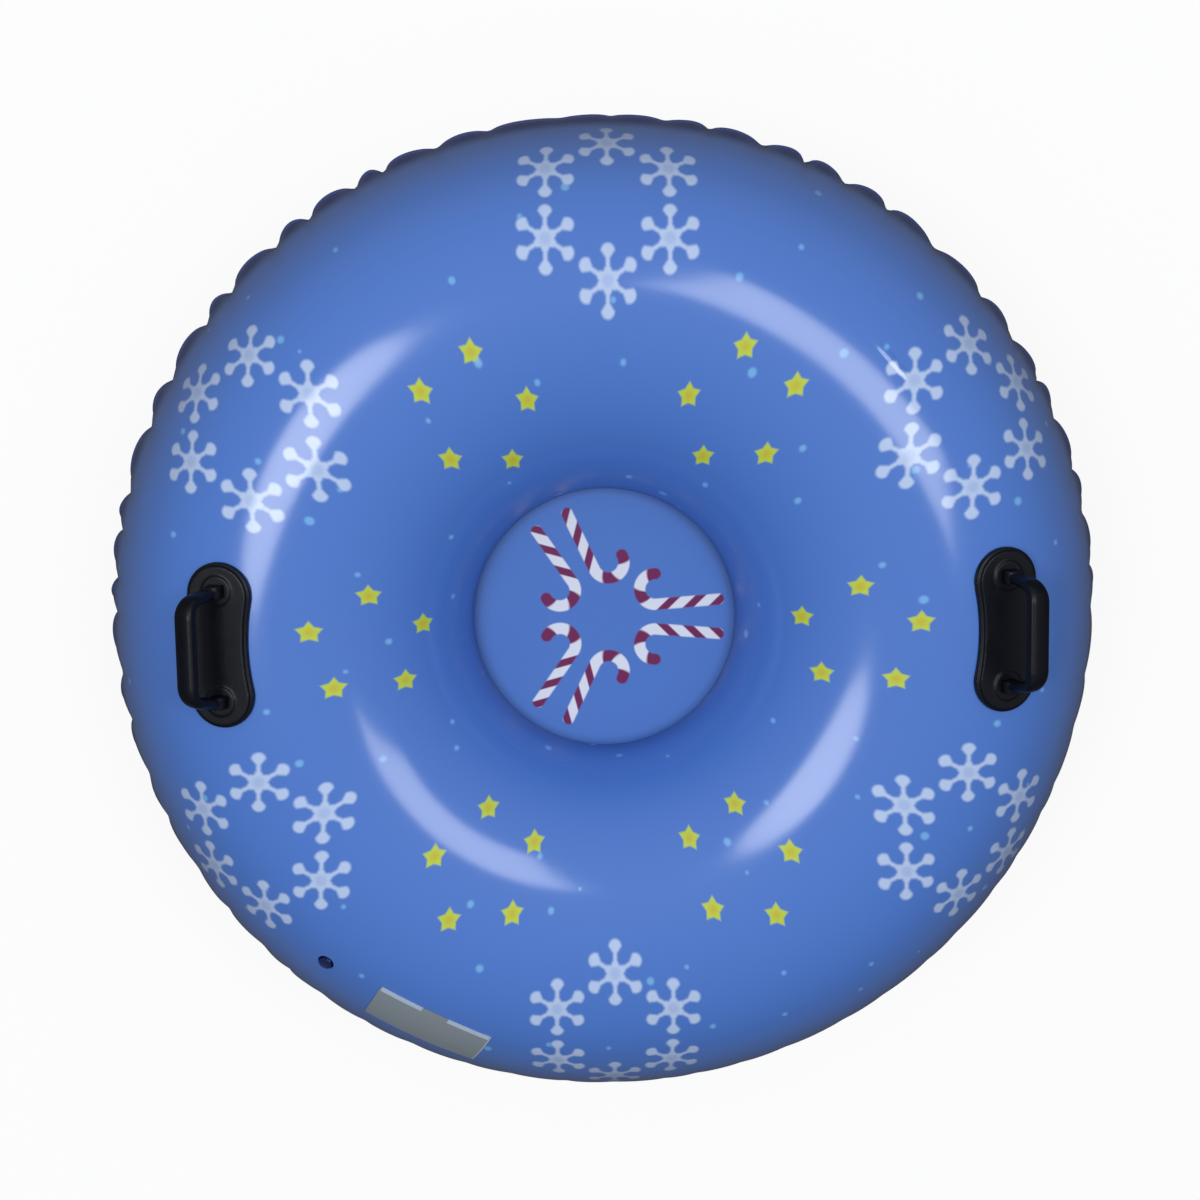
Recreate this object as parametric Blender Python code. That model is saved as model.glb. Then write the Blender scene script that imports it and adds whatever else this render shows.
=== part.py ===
"""Inflatable snow tube with a closed seat, two moulded handles and a pinch valve.

Metres, +Z up. The origin is the middle of the ground circle that the tube rests on.
The tube is two welded vinyl skins round an elliptical section. Both handles and the
valve sit on the upper skin, each in its own frame: X down the slope, Y round the
tube, Z out of the skin.
"""
import math

import bmesh
import bpy
from mathutils import Matrix, Vector

# Inflated tube
TUBE_RADIUS = 0.3004
SECTION_HALF_WIDTH = 0.1730
SECTION_HALF_HEIGHT = 0.1378
SKIN_THICKNESS = 0.0009
FLOOR_FLAT_HALF_ANGLE = math.radians(5)
CLEARANCE = 0.0003
OVERRUN = 0.002
MERGE_DISTANCE = 0.000003

# Outer weld: a scalloped flange, with puckers that die out up and down the skins
LOBE_COUNT = 60
PUCKER_DEPTH = 0.011
PUCKER_END_ANGLE = math.radians(30)
PUCKER_CROWDING = 1.3
LOBE_ROUNDNESS = 0.75
LOBE_WANDERS = ((7, 0.020, 0.6), (13, 0.010, 2.0))
WELD_PROUD = 0.0026
WELD_INSIDE = 0.005
WELD_STEPS_PER_LOBE = 4

# Inner weld and the two sheets of the seat
INNER_WELD_LIP = 0.0012
INNER_WELD_INSIDE = 0.006
SEAT_SHEET_THICKNESS = 0.0009

# Facets of the skins, in bands from the outer weld to the inner one
PUCKER_BANDS = 3
TOP_OUTER_BANDS = 6
TOP_INNER_BANDS = 5
BOTTOM_OUTER_BANDS = 3
BOTTOM_INNER_BANDS = 4

# Handle base, moulded in one with its two bosses
LEFT_HANDLE_AZIMUTH = math.radians(180)
RIGHT_HANDLE_AZIMUTH = math.radians(1.5)
LEFT_HANDLE_INSET = 0.1236
RIGHT_HANDLE_INSET = 0.1089
BASE_LENGTH = 0.153
BASE_END_RADIUS = 0.0305
BASE_WAIST_DRAW_IN = 0.0045
BASE_THICKNESS = 0.0055
BASE_EDGE_ROUND = 0.0025
BOSS_WALL = 0.0032
BOSS_HEIGHT = 0.0015
BOSS_EDGE_ROUND = 0.0007
SADDLE_DEPTH = 0.002

# Grip loop, from its round barrels up to the bar
LEG_INSET = 0.0255
LEG_THICKNESS = 0.009
LEG_DRAW_IN = 0.0035
BARREL_RADIUS = 0.008
BARREL_SHOULDER = 0.00125
BARREL_STEP = 0.00175
GRIP_RISE = 0.0345
GRIP_CORNER_RADIUS = 0.015
GRIP_WIDTH = 0.022
GRIP_THICKNESS = 0.012
GRIP_SQUARENESS = 0.7
MID_LEG_SHARE = 0.25
LEG_TOP_SHARE = 0.5
LEFT_GRIP_LEAN = math.radians(24)
RIGHT_GRIP_LEAN = math.radians(12)

# Blank patch welded on the skin
PATCH_AZIMUTH = math.radians(-114.5)
PATCH_INSET = 0.054
PATCH_LENGTH = 0.118
PATCH_WIDTH = 0.060
PATCH_THICKNESS = 0.0008
PATCH_ROOT_DEPTH = 0.012
PATCH_COLUMNS = 6
PATCH_ROWS = 3

# Pinch valve, pushed in
VALVE_AZIMUTH = math.radians(-130.5)
VALVE_INSET = 0.0612
VALVE_WELD_WIDTH = 0.0078
VALVE_FLANGE_THICKNESS = 0.001
SLEEVE_ROOM = 0.0005
SLEEVE_WALL = 0.001
STEM_BORE_RADIUS = 0.0036
STEM_WALL = 0.0014
STEM_HEIGHT = 0.0006
STEM_LENGTH = 0.0136
STEM_SKIRT_THICKNESS = 0.0015
STEM_COLLAR_THICKNESS = 0.0015
LID_RADIUS = 0.0064
LID_THICKNESS = 0.0014
LID_KNUCKLE_WIDTH = 0.004
PLUG_TAPER = 0.0007
PLUG_LENGTH = 0.0026
FLAP_OVERLAP = 0.0007
FLAP_THICKNESS = 0.0006

# Facets of the round pieces
ARC_STEPS = 10
WAIST_STEPS = 6
ROUND_STEPS = 24
VALVE_STEPS = 20
GRIP_SIDES = 12
CORNER_STEPS = 4
SMOOTH_ANGLE = math.radians(40)

# What follows from the sizes above
MID_HEIGHT = SECTION_HALF_HEIGHT * math.cos(FLOOR_FLAT_HALF_ANGLE)
WELD_THICKNESS = 2 * SKIN_THICKNESS
INNER_WELD_THICKNESS = 2 * (SKIN_THICKNESS + SEAT_SHEET_THICKNESS)
INNER_RADIUS = TUBE_RADIUS - SECTION_HALF_WIDTH
SEAT_RADIUS = INNER_RADIUS - INNER_WELD_LIP - CLEARANCE
OUTER_RIM_ANGLE = math.asin((WELD_THICKNESS / 2 + CLEARANCE) / SECTION_HALF_HEIGHT)
INNER_RIM_ANGLE = math.pi - math.asin(
    (INNER_WELD_THICKNESS / 2 + CLEARANCE) / SECTION_HALF_HEIGHT)
LEG_REACH = BASE_LENGTH / 2 - LEG_INSET
LEG_WIDTH = 2 * (BARREL_RADIUS - BARREL_STEP)
BARREL_LENGTH = LEG_THICKNESS + 2 * BARREL_SHOULDER
GROOVE_RADIUS = BARREL_RADIUS + CLEARANCE
GROOVE_LENGTH = BARREL_LENGTH + 2 * CLEARANCE
BOSS_RADIUS = math.hypot(GROOVE_RADIUS, GROOVE_LENGTH / 2) + BOSS_WALL
HINGE_HEIGHT = CLEARANCE + BASE_THICKNESS + BARREL_RADIUS - SADDLE_DEPTH
STEM_RADIUS = STEM_BORE_RADIUS + STEM_WALL
STEM_FOOT = STEM_HEIGHT - STEM_LENGTH
LID_HINGE_OFFSET = LID_RADIUS + LID_THICKNESS / 2 + CLEARANCE
LID_HINGE_HEIGHT = STEM_HEIGHT + CLEARANCE + LID_THICKNESS / 2
STEM_LUG_REACH = LID_HINGE_OFFSET + CLEARANCE
SLEEVE_RADIUS = STEM_LUG_REACH + SLEEVE_ROOM
SLEEVE_OUTER_RADIUS = SLEEVE_RADIUS + SLEEVE_WALL
VALVE_FLANGE_RADIUS = SLEEVE_OUTER_RADIUS + VALVE_WELD_WIDTH
PLUG_TOP_RADIUS = STEM_BORE_RADIUS - CLEARANCE
PLUG_TIP_RADIUS = PLUG_TOP_RADIUS - PLUG_TAPER
FLAP_RADIUS = STEM_BORE_RADIUS + FLAP_OVERLAP


def srgb(red, green, blue):
    """Linear colour from the 0-255 values seen on the object."""
    def channel(value):
        share = value / 255
        return share / 12.92 if share <= 0.04045 else ((share + 0.055) / 1.055) ** 2.4
    return (channel(red), channel(green), channel(blue), 1.0)


PRINTED_BLUE = (srgb(78, 120, 200), 0.32)
WELD_BLUE = (srgb(58, 92, 158), 0.38)
UNDERSIDE_BLUE = (srgb(60, 98, 176), 0.45)
HANDLE_BLACK = (srgb(26, 27, 34), 0.42)
PATCH_GREY = (srgb(128, 137, 150), 0.40)
VALVE_BLUE = (srgb(52, 84, 150), 0.35)


def clear_scene():
    for item in list(bpy.data.objects):
        bpy.data.objects.remove(item, do_unlink=True)


def material(name, finish):
    colour, roughness = finish
    made = bpy.data.materials.new(name)
    made.use_nodes = True
    shader = made.node_tree.nodes["Principled BSDF"]
    shader.inputs["Base Color"].default_value = colour
    shader.inputs["Roughness"].default_value = roughness
    shader.inputs["Metallic"].default_value = 0.0
    return made


def add_object(name, bm, finish=None, matrix=None, smooth=True):
    """Turn a bmesh into a named object, facing outwards, at the given place."""
    bmesh.ops.recalc_face_normals(bm, faces=bm.faces)
    mesh = bpy.data.meshes.new(name)
    bm.to_mesh(mesh)
    bm.free()
    if smooth:
        mesh.shade_smooth()
        mesh.set_sharp_from_angle(angle=SMOOTH_ANGLE)
    made = bpy.data.objects.new(name, mesh)
    bpy.context.scene.collection.objects.link(made)
    if matrix is not None:
        made.matrix_world = matrix
    if finish is not None:
        mesh.materials.append(material(name, finish))
    return made


def as_cutter(item):
    item.hide_render = True
    item.display_type = 'WIRE'
    return item


def boolean(target, tool, operation):
    cut = target.modifiers.new(tool.name, 'BOOLEAN')
    cut.operation = operation
    cut.solver = 'EXACT'
    cut.object = tool
    return cut


def add_ring(bm, points):
    return [bm.verts.new(point) for point in points]


def bridge_quads(bm, first, second):
    """Close two rings of the same count with four-sided faces."""
    count = len(first)
    for i in range(count):
        j = (i + 1) % count
        bm.faces.new((first[i], first[j], second[j], second[i]))


def bridge_puckers(bm, first, second):
    """Close two puckered rings with triangles that mirror about each lobe's crest."""
    count = len(first)
    for i in range(count):
        j = (i + 1) % count
        if i % 2:
            bm.faces.new((first[i], first[j], second[j]))
            bm.faces.new((first[i], second[j], second[i]))
        else:
            bm.faces.new((first[i], first[j], second[i]))
            bm.faces.new((first[j], second[j], second[i]))


def bridge_to_half(bm, fine, coarse):
    """Close a ring on one with half as many points."""
    count = len(coarse)
    for i in range(count):
        j = (i + 1) % count
        low, crest, high = fine[2 * i], fine[2 * i + 1], fine[(2 * i + 2) % len(fine)]
        bm.faces.new((low, crest, coarse[i]))
        bm.faces.new((crest, coarse[j], coarse[i]))
        bm.faces.new((crest, high, coarse[j]))


def bridge(bm, first, second, puckered):
    if len(first) == 2 * len(second):
        bridge_to_half(bm, first, second)
    elif puckered:
        bridge_puckers(bm, first, second)
    else:
        bridge_quads(bm, first, second)


def turned(profile, steps):
    """Solid of revolution about Z from a closed profile of (radius, height) points."""
    bm = bmesh.new()
    verts = [bm.verts.new((radius, 0.0, height)) for radius, height in profile]
    edges = [bm.edges.new((verts[i - 1], verts[i])) for i in range(len(verts))]
    bmesh.ops.spin(bm, geom=verts + edges, axis=(0, 0, 1), cent=(0, 0, 0),
                   angle=math.tau, steps=steps, use_merge=True)
    bmesh.ops.remove_doubles(bm, verts=bm.verts, dist=MERGE_DISTANCE)
    bmesh.ops.dissolve_degenerate(bm, edges=bm.edges, dist=MERGE_DISTANCE)
    return bm


def cylinder(radius, depth, steps, matrix):
    bm = bmesh.new()
    bmesh.ops.create_cone(bm, cap_ends=True, segments=steps, radius1=radius,
                          radius2=radius, depth=depth, matrix=matrix)
    return bm


def prism(outline, low, high):
    """Flat-ended solid from an outline in the XY plane."""
    bm = bmesh.new()
    face = bm.faces.new([bm.verts.new((x, y, low)) for x, y in outline])
    lifted = bmesh.ops.extrude_face_region(bm, geom=[face])
    moved = [item for item in lifted["geom"] if isinstance(item, bmesh.types.BMVert)]
    bmesh.ops.translate(bm, verts=moved, vec=(0, 0, high - low))
    return bm


def round_top_edge(bm, height, width, segments):
    """Round over the edges that lie at a height."""
    rim = [edge for edge in bm.edges
           if all(abs(vert.co.z - height) < MERGE_DISTANCE for vert in edge.verts)]
    bmesh.ops.bevel(bm, geom=rim, offset=width, segments=segments, profile=0.5,
                    affect='EDGES', clamp_overlap=True)


def section_normal(phi):
    return Vector((math.cos(phi) / SECTION_HALF_WIDTH,
                   math.sin(phi) / SECTION_HALF_HEIGHT)).normalized()


def section_point(phi, out=0.0):
    """Radius and height of the section at an angle from its outer side, moved out."""
    normal = section_normal(phi)
    return (TUBE_RADIUS + SECTION_HALF_WIDTH * math.cos(phi) + out * normal.x,
            MID_HEIGHT + SECTION_HALF_HEIGHT * math.sin(phi) + out * normal.y)


def meridian_speed(phi):
    """Length along the section for each radian of its angle."""
    return math.hypot(SECTION_HALF_WIDTH * math.sin(phi),
                      SECTION_HALF_HEIGHT * math.cos(phi))


def inset_angle(inset):
    """Section angle of the place on the top that lies this far in from the widest line."""
    return math.acos(1 - inset / SECTION_HALF_WIDTH)


def lobe_azimuth(lobe):
    """Direction of a place counted in lobes, which are a little uneven in pitch."""
    turn = math.tau * lobe / LOBE_COUNT
    return turn + sum(reach * math.sin(waves * turn + start)
                      for waves, reach, start in LOBE_WANDERS)


def lobe_height(lobe):
    """Scallop from -1 in the pucker to 1 on the crest of the lobe."""
    return 2 * abs(math.sin(math.pi * lobe)) ** LOBE_ROUNDNESS - 1


def pucker_fade(phi):
    return max(0.0, 1 - abs(phi) / PUCKER_END_ANGLE) ** 2


def around(azimuth, radius, height):
    return (radius * math.cos(azimuth), radius * math.sin(azimuth), height)


def skin_ring(phi, out, puckered=False, rim=False):
    """Points round the tube at a section angle, two to a lobe where it is puckered."""
    points = []
    steps = 2 if puckered else 1
    for i in range(LOBE_COUNT * steps):
        lobe = i / steps
        lift = PUCKER_DEPTH / 2 * lobe_height(lobe) * pucker_fade(phi)
        radius, height = section_point(phi, out + lift)
        if rim:
            height = section_point(phi)[1]
        points.append(around(lobe_azimuth(lobe), radius, height))
    return points


def shares(count):
    return [i / count for i in range(1, count + 1)]


def pucker_angles():
    """Section angles of the puckered bands, closest together at the weld."""
    span = PUCKER_END_ANGLE - OUTER_RIM_ANGLE
    return [OUTER_RIM_ANGLE] + [OUTER_RIM_ANGLE + span * share ** PUCKER_CROWDING
                                for share in shares(PUCKER_BANDS)]


def spread(start, end, bands):
    return [start + (end - start) * share for share in shares(bands)]


def top_angles():
    crest = math.pi / 2
    return (pucker_angles() + spread(PUCKER_END_ANGLE, crest, TOP_OUTER_BANDS)
            + spread(crest, INNER_RIM_ANGLE, TOP_INNER_BANDS))


def bottom_angles():
    flat_start = math.pi / 2 - FLOOR_FLAT_HALF_ANGLE
    flat_end = math.pi / 2 + FLOOR_FLAT_HALF_ANGLE
    down = (pucker_angles() + spread(PUCKER_END_ANGLE, flat_start, BOTTOM_OUTER_BANDS)
            + [flat_end] + spread(flat_end, INNER_RIM_ANGLE, BOTTOM_INNER_BANDS))
    return [-phi for phi in down]


def skin_rings(bm, angles, out):
    last = len(angles) - 1
    return [add_ring(bm, skin_ring(phi, out, place < PUCKER_BANDS, place in (0, last)))
            for place, phi in enumerate(angles)]


def skin_shell(angles):
    """One welded skin: an outer and an inner face that meet at the two rims."""
    bm = bmesh.new()
    outer = skin_rings(bm, angles, 0.0)
    inner = skin_rings(bm, angles, -SKIN_THICKNESS)
    for rings in (outer, inner):
        for i in range(len(rings) - 1):
            bridge(bm, rings[i], rings[i + 1], i < PUCKER_BANDS)
    bridge_quads(bm, outer[0], inner[0])
    bridge_quads(bm, outer[-1], inner[-1])
    return bm


def closed_tube(out):
    """The whole skin surface as one solid, moved out, for fitting pieces to the skin."""
    bm = bmesh.new()
    angles = top_angles() + list(reversed(bottom_angles()))
    rings = [add_ring(bm, skin_ring(phi, out)) for phi in angles]
    for i in range(len(rings)):
        bridge_quads(bm, rings[i - 1], rings[i])
    return bm


def make_outer_weld():
    """Scalloped flange where the two skins are welded at the widest line."""
    bm = bmesh.new()
    corners = ((WELD_PROUD, -1), (WELD_PROUD, 1), (-WELD_INSIDE, 1), (-WELD_INSIDE, -1))
    rings = []
    for proud, side in corners:
        points = []
        for i in range(LOBE_COUNT * WELD_STEPS_PER_LOBE):
            lobe = i / WELD_STEPS_PER_LOBE
            radius = (TUBE_RADIUS + SECTION_HALF_WIDTH + proud
                      + PUCKER_DEPTH / 2 * lobe_height(lobe))
            points.append(around(lobe_azimuth(lobe), radius,
                                 MID_HEIGHT + side * WELD_THICKNESS / 2))
        rings.append(add_ring(bm, points))
    for i in range(len(rings)):
        bridge_quads(bm, rings[i - 1], rings[i])
    return add_object("outer_weld", bm, WELD_BLUE)


def make_inner_weld():
    """Ring that joins both skins to the seat sheets."""
    inner = INNER_RADIUS - INNER_WELD_LIP
    outer = INNER_RADIUS + INNER_WELD_INSIDE
    half = INNER_WELD_THICKNESS / 2
    bm = turned([(inner, -half), (outer, -half), (outer, half), (inner, half)], LOBE_COUNT)
    return add_object("inner_weld", bm, WELD_BLUE, Matrix.Translation((0, 0, MID_HEIGHT)))


def make_seat_sheet(name, side, finish):
    """One of the two flat sheets that close the middle of the tube."""
    middle = MID_HEIGHT + side * (CLEARANCE + SEAT_SHEET_THICKNESS) / 2
    bm = cylinder(SEAT_RADIUS, SEAT_SHEET_THICKNESS, LOBE_COUNT,
                  Matrix.Translation((0, 0, middle)))
    return add_object(name, bm, finish)


def skin_frame(azimuth, phi):
    """Frame on the skin: X down the slope, Y round the tube, Z out of the skin."""
    normal = section_normal(phi)
    radius, height = section_point(phi)
    slope = Vector(around(azimuth, normal.y, -normal.x))
    round_tube = Vector((-math.sin(azimuth), math.cos(azimuth), 0))
    out = Vector(around(azimuth, normal.x, normal.y))
    turn = Matrix((slope, round_tube, out)).transposed().to_4x4()
    return Matrix.Translation(around(azimuth, radius, height)) @ turn


def arc(centre_x, centre_y, radius, start, end, steps):
    return [(centre_x + radius * math.cos(start + (end - start) * i / steps),
             centre_y + radius * math.sin(start + (end - start) * i / steps))
            for i in range(steps + 1)]


def waisted_outline():
    """Two round ends joined by hollow sides that run into them smoothly."""
    reach = BASE_LENGTH / 2 - BASE_END_RADIUS
    waist = BASE_END_RADIUS - BASE_WAIST_DRAW_IN
    hollow = ((waist ** 2 + reach ** 2 - BASE_END_RADIUS ** 2)
              / (2 * BASE_WAIST_DRAW_IN))
    side = waist + hollow
    meet = math.atan2(reach, side)
    half = math.pi
    points = arc(0, reach, BASE_END_RADIUS, -meet, half + meet, ARC_STEPS)
    points += arc(-side, 0, hollow, meet, -meet, WAIST_STEPS)[1:-1]
    points += arc(0, -reach, BASE_END_RADIUS, half - meet, math.tau + meet, ARC_STEPS)
    points += arc(side, 0, hollow, half + meet, half - meet, WAIST_STEPS)[1:-1]
    return points


def make_handle_base(name, frame, skin_cutter):
    """Waisted pad that fits the skin, with a saddle for each leg of the grip."""
    top = CLEARANCE + BASE_THICKNESS
    bm = prism(waisted_outline(), -BASE_END_RADIUS, top)
    round_top_edge(bm, top, BASE_EDGE_ROUND, 2)
    base = add_object(name, bm, HANDLE_BLACK, frame)
    for side in (-1, 1):
        label = f"{name}_{'far' if side > 0 else 'near'}"
        leg = Matrix.Translation((0, side * LEG_REACH, 0))
        boss_top = top + BOSS_HEIGHT
        boss_mesh = cylinder(BOSS_RADIUS, boss_top, ROUND_STEPS,
                             Matrix.Translation((0, 0, boss_top / 2)))
        round_top_edge(boss_mesh, boss_top, BOSS_EDGE_ROUND, 1)
        boolean(base, as_cutter(add_object(f"{label}_boss", boss_mesh, None, frame @ leg)),
                'UNION')
        across = Matrix.Translation((0, 0, HINGE_HEIGHT)) @ Matrix.Rotation(math.pi / 2, 4, 'X')
        groove = cylinder(GROOVE_RADIUS, GROOVE_LENGTH, ROUND_STEPS, across)
        boolean(base, as_cutter(add_object(f"{label}_groove", groove, None, frame @ leg)),
                'DIFFERENCE')
    boolean(base, skin_cutter, 'DIFFERENCE')
    return base


def grip_path():
    """Middle line of the loop in the YZ plane, as (y, z, turn, bar share) points."""
    shoulder = LEG_REACH - LEG_DRAW_IN
    corner_y = shoulder - GRIP_CORNER_RADIUS
    corner_z = GRIP_RISE - GRIP_CORNER_RADIUS
    splay = math.atan2(LEG_DRAW_IN, corner_z)
    half = [(LEG_REACH, 0.0, splay, 0.0)]
    half.append((LEG_REACH - LEG_DRAW_IN / 2, corner_z / 2, splay, MID_LEG_SHARE))
    for i in range(CORNER_STEPS + 1):
        turn = math.pi / 2 * i / CORNER_STEPS
        growth = LEG_TOP_SHARE + (1 - LEG_TOP_SHARE) * i / CORNER_STEPS
        half.append((corner_y + GRIP_CORNER_RADIUS * math.cos(turn),
                     corner_z + GRIP_CORNER_RADIUS * math.sin(turn), turn, growth))
    half.append((corner_y / 2, GRIP_RISE, math.pi / 2, 1.0))
    other = [(-y, z, math.pi - turn, share) for y, z, turn, share in reversed(half)]
    return half + [(0.0, GRIP_RISE, math.pi / 2, 1.0)] + other


def squared(wave):
    """Sine or cosine swollen, so that a round section turns squarer."""
    return math.copysign(abs(wave) ** GRIP_SQUARENESS, wave)


def grip_ring(bm, y, z, turn, share):
    """Rounded section of the loop, square to its middle line."""
    half_width = (LEG_WIDTH + (GRIP_WIDTH - LEG_WIDTH) * share) / 2
    half_thickness = (LEG_THICKNESS + (GRIP_THICKNESS - LEG_THICKNESS) * share) / 2
    ring = []
    for i in range(GRIP_SIDES):
        angle = math.tau * (i + 0.5) / GRIP_SIDES
        across = squared(math.cos(angle)) * half_width
        away = squared(math.sin(angle)) * half_thickness
        ring.append(bm.verts.new((across, y + away * math.cos(turn),
                                  z + away * math.sin(turn))))
    return ring


def make_grip(name, frame, lean):
    """Loop that a hand holds, with a round barrel at the root of each leg."""
    bm = bmesh.new()
    rings = [grip_ring(bm, *place) for place in grip_path()]
    for i in range(len(rings) - 1):
        bridge_quads(bm, rings[i], rings[i + 1])
    bm.faces.new(rings[0])
    bm.faces.new(rings[-1])
    hinge = frame @ Matrix.Translation((0, 0, HINGE_HEIGHT)) @ Matrix.Rotation(lean, 4, 'Y')
    grip = add_object(name, bm, HANDLE_BLACK, hinge)
    for side in (-1, 1):
        root = Matrix.Translation((0, side * LEG_REACH, 0))
        barrel = cylinder(BARREL_RADIUS, BARREL_LENGTH, ROUND_STEPS,
                          Matrix.Rotation(math.pi / 2, 4, 'X'))
        label = f"{name}_{'far' if side > 0 else 'near'}_barrel"
        boolean(grip, as_cutter(add_object(label, barrel, None, hinge @ root)), 'UNION')
    return grip


def make_patch(skin_cutter):
    """Blank four-sided patch, bent to the skin that it is welded on."""
    middle = inset_angle(PATCH_INSET)
    half_turn = PATCH_LENGTH / 2 / section_point(middle)[0]
    half_phi = PATCH_WIDTH / 2 / meridian_speed(middle)
    bm = bmesh.new()
    sheets = []
    for out in (-PATCH_ROOT_DEPTH, CLEARANCE + PATCH_THICKNESS):
        grid = []
        for row in range(PATCH_ROWS + 1):
            phi = middle + half_phi * (2 * row / PATCH_ROWS - 1)
            radius, height = section_point(phi, out)
            grid.append([bm.verts.new(around(
                PATCH_AZIMUTH + half_turn * (2 * column / PATCH_COLUMNS - 1), radius, height))
                for column in range(PATCH_COLUMNS + 1)])
        for row in range(PATCH_ROWS):
            for column in range(PATCH_COLUMNS):
                bm.faces.new((grid[row][column], grid[row][column + 1],
                              grid[row + 1][column + 1], grid[row + 1][column]))
        sheets.append(grid)
    low, high = [patch_border(grid) for grid in sheets]
    bridge_quads(bm, low, high)
    patch = add_object("blank_patch", bm, PATCH_GREY)
    boolean(patch, skin_cutter, 'DIFFERENCE')
    return patch


def patch_border(grid):
    """Vertices round the edge of a grid, in order."""
    border = grid[0][:-1] + [row[-1] for row in grid[:-1]]
    border += grid[-1][:0:-1] + [row[0] for row in reversed(grid[1:])]
    return border


def cut_valve_hole(top_skin, frame):
    depth = 2 * (SKIN_THICKNESS + OVERRUN)
    hole = cylinder(SLEEVE_RADIUS, depth, VALVE_STEPS, Matrix.Identity(4))
    boolean(top_skin, as_cutter(add_object("valve_hole", hole, None, frame)), 'DIFFERENCE')


def make_valve_flange(frame, cavity):
    """Welded ring under the skin, with the sleeve that the stem is pushed into."""
    drop = VALVE_FLANGE_RADIUS ** 2 / SECTION_HALF_HEIGHT
    under = -(SKIN_THICKNESS + CLEARANCE + drop + VALVE_FLANGE_THICKNESS)
    bm = turned([(SLEEVE_RADIUS, STEM_FOOT), (SLEEVE_OUTER_RADIUS, STEM_FOOT),
                 (SLEEVE_OUTER_RADIUS, under), (VALVE_FLANGE_RADIUS, under),
                 (VALVE_FLANGE_RADIUS, OVERRUN), (SLEEVE_RADIUS, OVERRUN)], VALVE_STEPS)
    flange = add_object("valve_flange", bm, VALVE_BLUE, frame)
    boolean(flange, cavity, 'INTERSECT')
    return flange


def box_mesh(low, high):
    """Plain block between two corners."""
    outline = [(low[0], low[1]), (high[0], low[1]), (high[0], high[1]), (low[0], high[1])]
    return prism(outline, low[2], high[2])


def make_valve_stem(frame):
    """Soft stem with a skirt that runs in the sleeve and a lug for the lid's hinge."""
    skirt = SLEEVE_RADIUS - CLEARANCE
    skirt_top = STEM_FOOT + STEM_SKIRT_THICKNESS
    collar = STEM_HEIGHT - STEM_COLLAR_THICKNESS
    bm = turned([(STEM_BORE_RADIUS, STEM_FOOT), (skirt, STEM_FOOT), (skirt, skirt_top),
                 (STEM_RADIUS, skirt_top), (STEM_RADIUS, collar), (LID_RADIUS, collar),
                 (LID_RADIUS, STEM_HEIGHT), (STEM_BORE_RADIUS, STEM_HEIGHT)], VALVE_STEPS)
    stem = add_object("valve_stem", bm, VALVE_BLUE, frame)
    lug = box_mesh((-STEM_LUG_REACH, -LID_KNUCKLE_WIDTH / 2, collar),
                   (-STEM_RADIUS, LID_KNUCKLE_WIDTH / 2, STEM_HEIGHT))
    boolean(stem, as_cutter(add_object("stem_lug", lug, None, frame, False)), 'UNION')
    return stem


def make_valve_lid(frame):
    """Lid with a tapered plug, which turns on a knuckle beside it."""
    half = LID_THICKNESS / 2
    bm = turned([(0, -half - PLUG_LENGTH), (PLUG_TIP_RADIUS, -half - PLUG_LENGTH),
                 (PLUG_TOP_RADIUS, -half), (LID_RADIUS, -half), (LID_RADIUS, half),
                 (0, half)], VALVE_STEPS)
    bmesh.ops.translate(bm, verts=bm.verts, vec=(LID_HINGE_OFFSET, 0, 0))
    hinge = frame @ Matrix.Translation((-LID_HINGE_OFFSET, 0, LID_HINGE_HEIGHT))
    lid = add_object("valve_lid", bm, VALVE_BLUE, hinge)
    outline = arc(0, 0, half, math.pi / 2, 3 * math.pi / 2, CORNER_STEPS)
    reach = LID_HINGE_OFFSET - PLUG_TOP_RADIUS
    knuckle = prism(outline + [(reach, -half), (reach, half)],
                    -LID_KNUCKLE_WIDTH / 2, LID_KNUCKLE_WIDTH / 2)
    stand = hinge @ Matrix.Rotation(math.pi / 2, 4, 'X')
    boolean(lid, as_cutter(add_object("lid_knuckle", knuckle, None, stand)), 'UNION')
    return lid


def make_valve_flap(frame):
    """Thin check flap that hangs on its own edge under the stem."""
    middle = STEM_FOOT - CLEARANCE - FLAP_THICKNESS / 2
    disc = cylinder(FLAP_RADIUS, FLAP_THICKNESS, VALVE_STEPS,
                    Matrix.Translation((FLAP_RADIUS, 0, 0)))
    hinge = frame @ Matrix.Translation((-FLAP_RADIUS, 0, middle))
    return add_object("valve_flap", disc, VALVE_BLUE, hinge)


def parent_to(children, parent):
    """Hang pieces on an object and keep them where they are."""
    bpy.context.view_layer.update()
    for child in children:
        world = child.matrix_world.copy()
        child.parent = parent
        child.matrix_parent_inverse = parent.matrix_world.inverted()
        child.matrix_world = world


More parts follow.
